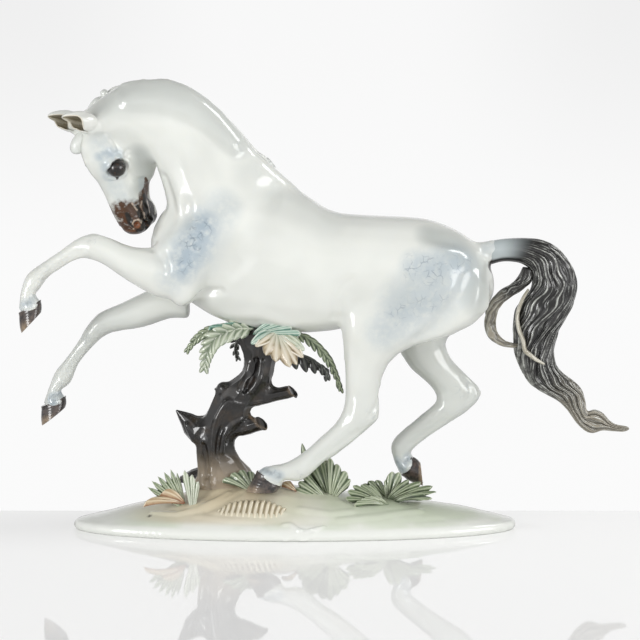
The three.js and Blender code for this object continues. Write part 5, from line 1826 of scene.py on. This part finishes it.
@dataclass(frozen=True)
class Blade:
    """One leaflet, petal or pleated lobe.

    Args:
        tip: Pixel and depth of its tip.
        half: Half width at its widest.
        pleats: Ribs that run along it.
        glaze: Its finish.
        sag: How far its middle stands out of the straight line, towards its face.
        bluntness: Above 1 its tip is rounder.
        root: Pixel and depth of its root, if it isn't the spray's.
    """

    tip: Triple
    half: float
    pleats: int = 1
    glaze: LeafGlaze = SAGE
    sag: float = 1.5
    bluntness: float = 1.0
    root: Optional[Triple] = None


def blade_mesh(name: str, root: np.ndarray, tip: np.ndarray, face: np.ndarray, blade: Blade, thickness: float,
               relief: float = 0.45) -> Mesh:
    """Models a blade with ribs that meet at both of its ends.

    Args:
        name: Name of the mesh.
        root: Its root.
        tip: Its tip.
        face: Direction that it faces.
        blade: Its sizes.
        thickness: Of the porcelain.
        relief: Height of the ribs.

    Returns:
        The mesh in metres.
    """
    axis = tip - root
    length = np.linalg.norm(axis)
    side = unit(np.cross(axis, face))
    normal = unit(np.cross(side, axis))

    def place(across: np.ndarray, along: np.ndarray) -> Surface:
        """Points and masks of the blade."""
        where = (across - 0.5) * 2
        out = np.abs(where)
        rise = np.clip(along * 1.02, 0, 1)
        width = blade.half * (0.2 + 0.8 * np.sin(math.pi / 2 * np.clip(rise / 0.55, 0, 1))) * np.clip(
            1 - np.clip((rise - 0.5) / 0.5, 0, 1) ** (1.7 * blade.bluntness), 0.01, 1) ** 0.75
        wave = np.cos(where * math.pi * blade.pleats) if blade.pleats > 1 else 1 - 2 * out ** 0.7
        ease = smooth_step(along / 0.15) * smooth_step((1 - along) / 0.1)
        lift = relief * wave * ease * min(1.0, blade.half / 3) - 0.22 * width * out ** 2
        bow = blade.sag * np.sin(math.pi * along)
        points = root + along[:, None] * axis + (where * width)[:, None] * side
        points = points + (lift + bow)[:, None] * normal
        ribs = smooth_step((wave - 0.55) / 0.45) ** 2
        border = smooth_step((out - 0.84) / 0.1)
        # The height mask darkens the folds, partly as painted shade.
        return points, {"rib": np.maximum(ribs * 0.7, border) * smooth_step(along / 0.1),
                        "height": 0.5 + 0.5 * wave, "base": 1 - smooth_step(along / 0.7)}

    columns = max(10, 6 * blade.pleats + 4)
    return sheet(name, columns, max(16, int(length * 1.3)), place, thickness)


def merged(name: str, meshes: Sequence[Mesh]) -> Mesh:
    """Puts several meshes into one, and keeps their material numbers and masks."""
    bm = bmesh.new()
    for mesh in meshes:
        bm.from_mesh(mesh)
        bpy.data.meshes.remove(mesh)
    whole = bpy.data.meshes.new(name)
    bm.to_mesh(whole)
    bm.free()
    return whole


FINISHES: dict[LeafGlaze, Material] = {}


def finish_of(glaze: LeafGlaze) -> Material:
    """Material of a leaf glaze, made once."""
    if glaze not in FINISHES:
        FINISHES[glaze] = glaze.material()
    return FINISHES[glaze]


@dataclass(frozen=True)
class Spray:
    """Leaves or petals that radiate from one root.

    Args:
        name: Name of the piece.
        root: Pixel and depth of the root.
        blades: Its leaves.
        casting: CAD node that it stands for.
        facing: Direction that it faces.
        thickness: Of the porcelain.
        relief: Height of the ribs.
    """

    name: str
    root: Triple
    blades: tuple[Blade, ...]
    casting: str
    facing: Triple = (0.0, -0.9, 0.4)
    thickness: float = 1.3
    relief: float = 0.45

    def build(self) -> None:
        """Builds and dresses the spray, one piece for each glaze."""
        glazes = list(dict.fromkeys(blade.glaze for blade in self.blades))
        for number, glaze in enumerate(glazes):
            meshes = []
            for blade in (blade for blade in self.blades if blade.glaze is glaze):
                root, tip = points_at((blade.root or self.root, blade.tip))
                meshes.append(blade_mesh("blade", root, tip, unit(self.facing), blade, self.thickness,
                                         self.relief))
            label = self.name if number == 0 else f"{self.name}_{number + 1}"
            castings = (self.casting,) if number == 0 else ()
            placed(merged(label, meshes), finish_of(glaze), castings)


@dataclass(frozen=True)
class Frond:
    """Palm leaf: leaflets on both sides of a curved rib.

    Args:
        name: Name of the piece.
        spine: Pixels and depths from the root to the tip.
        leaflet: Length of the longest leaflet.
        count: Leaflets on each side.
        glaze: Its finish.
        casting: CAD node that it stands for.
        facing: Direction that it faces.
        slant: Degrees between a leaflet and the rib.
        droop: How far the leaflets hang, as a share of their length.
        uneven: How much longer the leaflets on the outer side of the bend are.
        plump: Half width of a leaflet, as a share of its length.
    """

    name: str
    spine: tuple[Triple, ...]
    leaflet: float
    count: int
    glaze: LeafGlaze
    casting: str
    facing: Triple = (0.0, -0.8, 0.6)
    slant: float = 38.0
    droop: float = 0.15
    uneven: float = 0.0
    plump: float = 0.24

    def build(self) -> None:
        """Builds and dresses the frond."""
        line = smooth_path(points_at(self.spine), 61)
        slopes = np.gradient(line, axis=0)
        face = unit(self.facing)
        meshes = []
        for number in range(self.count):
            share = 0.06 + 0.88 * number / (self.count - 1)
            index = int(round(share * 60))
            slope = unit(slopes[index])
            side = unit(np.cross(slope, face))
            swell = 0.62 + 0.38 * math.sin(math.pi * min(1.0, share * 1.2))
            size = self.leaflet * swell * (1.0 - 0.3 * share)
            for hand in (-1, 1):
                angle = math.radians(self.slant * (1.15 - 0.45 * share))
                reach = size * (1 + self.uneven * hand)
                direction = slope * math.cos(angle) + side * (hand * math.sin(angle))
                direction[2] -= self.droop
                tip = line[index] + unit(direction) * reach
                blade = Blade((0, 0, 0), reach * self.plump, sag=0.9)
                turned = unit(np.cross(side, slope) + face)
                meshes.append(blade_mesh("leaflet", line[index], tip, turned, blade, 1.2, 0.4))
        end = Blade((0, 0, 0), self.leaflet * 0.2, sag=0.4)
        meshes.append(blade_mesh("leaflet", line[52], line[60], face, end, 1.2))
        rib = Blade((0, 0, 0), 1.1, sag=0.0)
        for start in range(0, 60, 10):
            meshes.append(blade_mesh("rib", line[start], line[min(start + 14, 60)], face, rib, 1.6, 0.3))
        placed(merged(self.name, meshes), finish_of(self.glaze), (self.casting,))


FRONDS = (
    Frond("crown_leaf_front_left", ((254, 329, -9), (236, 329.5, -12), (219, 336, -15), (208.5, 350, -16),
        (204, 370, -15)), 12.0, 10, PALE, "crown_frond_front_left", slant=40.0),
    Frond("crown_leaf_left", ((240, 328, 0), (214, 330, 1), (198, 338, 2), (187, 351, 2)), 9.0, 9, SAGE,
        "crown_frond_left", slant=26.0),
    Frond("crown_leaf_back_left", ((248, 330, 8), (239, 338, 15), (235, 348, 20), (238, 360, 23)), 6.5, 6,
        DARK, "crown_frond_back_left", facing=(0.0, 0.8, 0.6)),
    Frond("crown_leaf_right", ((286, 331, -6), (306, 338, -9), (323, 353, -10), (334, 372, -10),
        (341, 391, -10)), 9.5, 11, MOSS, "crown_frond_right", slant=24.0, plump=0.2, droop=0.4, uneven=-0.2),
    Frond("crown_leaf_back_right", ((272, 338, 4), (288, 349, 8), (306, 357, 11), (321, 365, 13),
        (328, 376, 14)), 13.0, 7, DARK, "crown_frond_back_right", droop=1.3, plump=0.25),
)


@dataclass(frozen=True)
class Fan:
    """Pleated leaf that spreads from one root to a scalloped rim.

    Args:
        name: Name of the piece.
        root: Pixel and depth of its root.
        rim: Pixels and depths along its rim.
        pleats: Number of its lobes.
        glaze: Its finish.
        casting: CAD node that it stands for.
        facing: Direction that it faces.
        bow: How far its middle stands out.
        scallop: How far the rim is drawn in between the lobes, as a share of their length.
        relief: Height of the ribs.
        bluntness: 1 for pointed lobes, and above it for rounder ones.
    """

    name: str
    root: Triple
    rim: tuple[Triple, ...]
    pleats: int
    glaze: LeafGlaze
    casting: Optional[str] = None
    facing: Triple = (0.0, -0.93, 0.37)
    bow: float = 2.0
    scallop: float = 0.09
    relief: float = 0.75
    bluntness: float = 2.0

    def build(self) -> None:
        """Builds and dresses the leaf."""
        rim = smooth_path(points_at(self.rim), 241)
        root = at_depth(self.root[:2], self.root[2])
        face = unit(self.facing)

        def place(across: np.ndarray, along: np.ndarray) -> Surface:
            """Points and masks of the leaf."""
            end = sampled(rim, across)
            phase = across * self.pleats * math.pi
            lobe = np.abs(np.sin(phase))
            fine = 0.5 + 0.5 * np.cos(6 * phase)
            share = 0.05 + 0.95 * along
            aside = np.abs((across * self.pleats) % 1.0 - 0.5) * 2
            share = share * (1 - self.scallop * aside ** self.bluntness * smooth_step((along - 0.3) / 0.7))
            points = root + share[:, None] * (end - root)
            spread = smooth_step(along / 0.25)
            lift = self.relief * spread * (0.85 * lobe ** 0.8 + 0.28 * fine)
            lift = lift + self.bow * np.sin(math.pi * 0.92 * along)
            points += lift[:, None] * face
            rib = 0.85 * smooth_step((fine - 0.8) / 0.18) * smooth_step((lobe - 0.2) / 0.4) * spread
            border = smooth_step((along - 0.955) / 0.03)
            # The height mask darkens the folds and the root end, partly as painted shade.
            return points, {"rib": np.maximum(rib, 0.9 * border), "height": lobe * (0.45 + 0.55 * along),
                            "base": 1 - smooth_step(along / 0.5)}

        mesh = sheet(self.name, 18 * self.pleats, 44, place, 1.2)
        placed(mesh, finish_of(self.glaze), (self.casting,) if self.casting else ())


FANS = (
    Fan("ground_fan_left_crown", (187, 512, -15), ((146, 491, -20), (150.2, 483, -20), (156, 477.5, -19),
        (162.5, 473.4, -18), (169.6, 469.4, -17), (180, 475, -15)), 6, SAGE, "ground_fan_left", scallop=0.3,
        relief=1.3, bluntness=1.1),
    Fan("ground_leaf_pale", (193, 520, -17), ((181.5, 474, -18), (184.8, 470.6, -18), (191, 474, -17),
        (197, 479, -17), (200.6, 486, -16)), 3, PALE, "ground_leaf_left_broad", scallop=0.12, relief=1.1,
        bluntness=1.2),
    Fan("ground_leaf_rust", (186, 504, -19), ((138.5, 508.5, -27), (147, 502, -24), (157, 496, -21),
        (168, 490.5, -19), (176, 492.5, -18)), 2, RUST, "ground_leaf_left_low", facing=(0.0, -0.75, 0.66),
        bow=2.6, relief=1.2, bluntness=1.2),
    Fan("ground_leaf_hoof", (254, 494, -12), ((219.5, 482.5, -9), (229, 476, -8), (238, 471.5, -7),
        (247, 471.5, -6), (256, 474, -6)), 4, SAGE, "ground_leaf_behind_hoof", facing=(0.0, -0.8, 0.6),
        bow=2.4),
    Fan("ground_leaf_brown", (297, 492, -12), ((280, 487, -11), (283, 483.0, -9), (290, 480.5, -8)), 1, RUST,
        "ground_leaf_heel"),
    Fan("ground_fan_tall", (331, 504, -4), ((300, 477, 1), (304, 468, 1), (312, 462, 0), (321, 459, -1),
        (327.5, 457.6, -3)), 3, MOSS, "ground_fan_middle", bow=2.6, relief=1.2),
    Fan("ground_fan_right_lobe", (330, 504, -6), ((325, 460, -4), (331, 459, -4), (337, 464, -5),
        (344.5, 470.5, -6), (350.4, 477.5, -7), (349.8, 487, -8)), 4, SAGE, bow=2.6, relief=1.2),
    Fan("ground_fan_low_lobe", (332, 506, -8), ((294, 494, -9), (296.5, 485.5, -7), (302, 479, -5),
        (308, 474, -4)), 3, SAGE, bow=3.2, relief=1.1),
    Fan("ground_fern", (386, 506, -11), ((345.5, 503.5, -18), (346, 496, -15), (352, 487.4, -12),
        (363, 486, -10), (374, 487, -9)), 5, MOSS, "ground_leaf_front_fern", facing=(0.0, -0.75, 0.66),
        bow=2.4, scallop=0.16, relief=1.0),
    Fan("ground_fern_front", (390, 506, -14), ((352, 508, -21), (357, 502.5, -19), (366, 498.5, -17),
        (376, 497.5, -15)), 3, SAGE, facing=(0.0, -0.7, 0.7), bow=1.8, relief=0.9),
    Fan("ground_leaf_far_left", (389, 502, 4), ((361, 489, 5), (363.5, 483.5, 6), (372, 480.4, 6),
        (381.5, 480.6, 6)), 3, MOSS, "ground_leaf_right_left", bow=2.0),
    Fan("ground_leaf_round", (387, 504, 0), ((383.5, 489, -1), (385.5, 478.5, 0), (392, 471.6, 0),
        (399.5, 472.2, 0), (403, 479.5, 0)), 3, SAGE, "ground_leaf_right_upright", bow=1.6),
    Fan("ground_leaf_long", (384, 503, -4), ((402, 482.5, 0), (411, 480.8, -1), (424, 484.4, -2),
        (439.4, 490.6, -4), (431, 496, -7)), 4, MOSS, "ground_leaf_right_long", facing=(0.0, -0.8, 0.6),
        bow=3.4, scallop=0.2, relief=1.0, bluntness=1.3),
    Fan("ground_leaf_low", (392, 503, -8), ((412, 494.5, -8), (424, 494.6, -10), (433.8, 499.6, -13),
        (420, 501.5, -14)), 2, MOSS, "ground_leaf_right_low", facing=(0.0, -0.7, 0.7), bow=2.0,
        bluntness=1.2),
    Fan("crown_leaf_top", (258, 331, -6), ((204, 330.5, -14), (214, 325.2, -12), (236, 322.5, -10),
        (254, 322.5, -8)), 3, TEAL, facing=(0.0, -0.55, 0.84), bow=0.6, relief=0.5),
    Fan("crown_leaf_teal", (252, 335, -12), ((262, 324, -14), (281, 325.0, -15), (296, 329.5, -16),
        (304, 337, -16)), 4, MIST, facing=(0.0, -0.6, 0.8), bow=0.6, relief=0.6),
)
SPRAYS = (
    Spray("crown_fan", (277, 332, -12), (Blade((251, 343.8, -20), 3.2, 2, MIST, root=(273, 331, -12)),
        Blade((255.4, 346.4, -21), 3.2, 2, CREAM), Blade((265.7, 355.4, -22), 4.6, 1, CREAM, bluntness=1.3),
        Blade((276, 362.2, -23), 4.3, 1, CREAM, bluntness=1.3),
        Blade((290, 367.5, -23), 4.6, 1, CREAM, bluntness=1.3),
        Blade((297, 365, -21), 4.0, 1, CREAM, bluntness=1.3), Blade((303.4, 357.6, -20), 3.6, 2, CREAM),
        Blade((304.6, 350.5, -18), 3.4, 3, PALE), Blade((301, 343.5, -15), 3.2, 3, SAGE)), "crown_fan_front",
        facing=(0.0, -0.92, 0.4), thickness=1.4, relief=0.8),
    Spray("ground_leaf_thin", (312, 494, 6), (Blade((302, 443.2, 6), 2.3, 1, SAGE, bluntness=1.4),),
        "ground_leaf_middle_tall", facing=(0.0, -1.0, 0.1)),
)


@dataclass(frozen=True)
class Shell:
    """Fallen leaf that curls like a shell, with ribs across it.

    Args:
        spine: Pixels and depths along it.
        half: Half width.
        ribs: Number of ribs.
    """

    spine: tuple[Triple, ...] = ((217, 503, -26), (228, 496, -23), (246, 493.5, -22),
                                                     (266, 495, -23), (287, 501.5, -26))
    half: float = 7.4
    ribs: int = 13

    def build(self, mound: Clay) -> None:
        """Lays the leaf into the mound and dresses it.

        Args:
            mound: The ground that it lies in.
        """
        line = smooth_path(points_at(self.spine), 121)
        across_ground = unit((0.12, -1.0, 0.0))
        tree = mound.tree

        def place(across: np.ndarray, along: np.ndarray) -> Surface:
            """Points and masks of the leaf."""
            middle = sampled(line, along)
            width = self.half * np.sin(math.pi * np.clip(along, 0.02, 0.98)) ** 0.5
            wave = np.cos(2 * math.pi * (along * self.ribs + 1.3 * across ** 0.6))
            crest = smooth_step((wave + 0.3) / 1.2)
            points = middle + (width * (1 + 0.1 * wave) * across * 1.35 + 0.8)[:, None] * across_ground
            for number, (x, y, z) in enumerate(points):
                hit = tree.ray_cast(Vector((x, y, 60.0)), Vector((0.0, 0.0, -1.0)))[0]
                points[number, 2] = z if hit is None else hit.z
            ends = np.sin(math.pi * along) ** 0.5
            shelf = smooth_step(across / 0.15) * (1 - across) ** 0.7
            points[:, 2] += (2.0 * crest + 0.7) * ends * shelf - 0.6
            # The height mask darkens the leaf between its ribs, partly as painted shade.
            return points, {"rib": smooth_step((wave - 0.2) / 0.7) * smooth_step((across - 0.1) / 0.3) * 0.9,
                            "height": crest,
                            "base": 1 - smooth_step(across / 0.3)}

        mesh = sheet("ground_shell", 40, 260, place, 1.0)
        placed(mesh, finish_of(SHELL), ("ground_shell_leaf",))


@dataclass
class Studio:
    """Plain pale table, white surround and soft lamps.

    Args:
        table_back: Distance from the middle of the figurine to the back edge of the glossy table.
        reach: Half size of the floor.
        lens: Distance and height of the photograph's lens, which the sweep's shade is laid out from.
        mirror: Share of the light that the table mirrors.
        tabletop: Colour that the table shows by itself.
        table_light: Strength of that colour.
        sweep: Colours of the sweep behind the table and of its upper corners, which are greyer as painted
            shade.
        sweep_light: Strength of the sweep.
        backdrop: Colour of the background.
        aim: Point that the lamps face.
    """

    table_back: float = 53.0
    reach: float = 120000.0
    lens: tuple[float, float] = (1588.0, 319.0)
    mirror: float = 0.27
    tabletop: str = "f4f4f3"
    table_light: float = 0.38
    sweep: tuple[str, str] = ("fefefe", "f3f3f3")
    sweep_light: float = 0.97
    backdrop: str = "f5f5f5"
    aim: Triple = (0.0, 0.0, 140.0)

    def floor(self) -> Object:
        """Table and floor in one sheet."""
        bm = bmesh.new()
        bmesh.ops.create_grid(bm, x_segments=1, y_segments=1, size=self.reach * MM)
        mesh = bpy.data.meshes.new("floor")
        bm.to_mesh(mesh)
        bm.free()
        mesh.materials.append(self._floor_material())
        floor = bpy.data.objects.new("floor", mesh)
        bpy.context.scene.collection.objects.link(floor)
        return floor

    def _floor_material(self) -> Material:
        """White table that mirrors softly, and a white sweep beyond its back edge."""
        shader = Shader("white_table")
        diffuse = shader.surface
        diffuse.inputs["Base Color"].default_value = (0.8, 0.8, 0.8, 1.0)
        diffuse.inputs["Roughness"].default_value = 0.6
        diffuse.inputs["Specular IOR Level"].default_value = 0.2
        split = shader.add("ShaderNodeSeparateXYZ", {0: shader.place})
        distance, height = self.lens
        deep = shader.maths("ADD", split.outputs["Y"], distance * MM)
        rise = shader.maths("DIVIDE", height * MM, deep)
        aside = shader.maths("ABSOLUTE", shader.maths("DIVIDE", split.outputs["X"], deep))
        # Painted shade: the sweep turns greyer towards its upper corners.
        top = shader.ramp(rise, 0.11, 0.0, 0.0, 1.0)
        corner_shade = shader.maths("MULTIPLY", top, shader.ramp(aside, 0.03, 0.11, 0.25, 1.0))
        sweep = shader.mixed(*self.sweep, corner_shade)
        white = shader.add("ShaderNodeEmission", {"Color": sweep, "Strength": self.sweep_light})
        tabletop = shader.add("ShaderNodeEmission", {"Color": hex_colour(self.tabletop),
                                                     "Strength": self.table_light})
        lit = shader.add("ShaderNodeAddShader", {0: tabletop.outputs[0], 1: diffuse.outputs[0]})
        gloss = shader.add("ShaderNodeBsdfGlossy", {"Color": (1.0, 1.0, 1.0, 1.0), "Roughness": 0.03})
        table = shader.add("ShaderNodeMixShader", {0: self.mirror, 1: lit.outputs[0], 2: gloss.outputs[0]})
        behind = shader.maths("GREATER_THAN", split.outputs["Y"], self.table_back * MM)
        seen = shader.add("ShaderNodeMixShader", {0: behind, 1: table.outputs[0], 2: white.outputs[0]})
        path = shader.add("ShaderNodeLightPath").outputs["Is Camera Ray"]
        whole = shader.add("ShaderNodeMixShader", {0: path, 1: diffuse.outputs[0], 2: seen.outputs[0]})
        shader.links.new(whole.outputs[0], shader.nodes["Material Output"].inputs["Surface"])
        return shader.material

    def world(self) -> None:
        """White surround, bright in front and darker overhead, with a paler wall behind."""
        world = bpy.data.worlds.new("surround")
        world.use_nodes = True
        tree = Nodes(world.node_tree, "Generated")
        split = tree.add("ShaderNodeSeparateXYZ", {0: tree.place})
        around = tree.maths("MULTIPLY", tree.ramp(split.outputs["Y"], -0.85, 0.25, 1.05, 0.65),
                            tree.ramp(split.outputs["Z"], 0.15, 0.85, 1.0, 0.3))
        wall = tree.maths("ADD", around, tree.ramp(split.outputs["Y"], 0.8, 0.97, 0.0, 0.27))
        lit = tree.nodes["Background"]
        lit.inputs["Color"].default_value = (1.0, 1.0, 1.0, 1.0)
        tree.links.new(wall, lit.inputs["Strength"])
        seen = tree.add("ShaderNodeBackground", {"Color": hex_colour(self.backdrop)})
        path = tree.add("ShaderNodeLightPath").outputs["Is Camera Ray"]
        mix = tree.add("ShaderNodeMixShader", {0: path, 1: lit.outputs[0], 2: seen.outputs[0]})
        tree.links.new(mix.outputs[0], tree.nodes["World Output"].inputs["Surface"])
        bpy.context.scene.world = world

    def lamp(self, name: str, place: Triple, size: tuple[float, float], power: float) -> None:
        """Adds a softbox.

        Args:
            name: Its name.
            place: Its middle.
            size: Width and height.
            power: In watts.
        """
        data = bpy.data.lights.new(name, "AREA")
        data.shape = "RECTANGLE"
        data.size, data.size_y = size[0] * MM, size[1] * MM
        data.energy = power
        lamp = bpy.data.objects.new(name, data)
        lamp.location = Vector(place) * MM
        lamp.rotation_euler = (Vector(self.aim) - Vector(place)).to_track_quat("-Z", "Y").to_euler()
        bpy.context.scene.collection.objects.link(lamp)

    def build(self) -> None:
        """Sets up the whole studio."""
        self.floor()
        self.world()
        self.lamp("left_softbox", (-1080.0, -1020.0, 160.0), (420.0, 800.0), 10.6)
        self.lamp("high_softbox", (1000.0, 0.0, 1050.0), (340.0, 520.0), 4.6)
        self.lamp("right_softbox", (1180.0, -900.0, 300.0), (700.0, 700.0), 6.2)


def write_sizes() -> None:
    """Updates the scene's view layer."""
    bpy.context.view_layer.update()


def main() -> None:
    """Builds the figurine and its studio."""
    logging.basicConfig(level=logging.INFO, format="%(name)s: %(message)s")
    CAMERA.install()
    Studio().build()
    bpy.context.scene.view_settings.view_transform = "Standard"
    horse = HorseSkin()
    horse.build()
    EYE.build()
    Mane().build(horse.clay, ManeGlaze().material())
    ears = EarGlaze().material()
    for side in Side:
        Ear(side).build(ears, f"{side.name.lower()}_ear")
    white = WhiteLockGlaze().material()
    for fan in FANS:
        fan.build()
    for lock in WHITE_LOCKS:
        lock.build(white, "porcelain_white", ("forelock",) if lock is WHITE_LOCKS[0] else ())
    horn = HoofGlaze().material()
    for hoof in HOOVES:
        hoof.build(horn)
    Stump().build()
    ground = Ground()
    ground.build()
    for frond in FRONDS:
        frond.build()
    for spray in SPRAYS:
        spray.build()
    Shell().build(ground.clay)
    hair = HairGlaze().material()
    TAIL.build(hair, "tail_brown", ("tail",))
    SIDE_LOCK.build(hair, "tail_brown", ("tail_side_lock",))
    cream = WhiteLockGlaze("cream_lock_glaze", "dcd8ca", "a9a391").material()
    CREAM_STRAND.build(cream, "tail_brown")
    write_sizes()


if __name__ == "__main__":
    main()
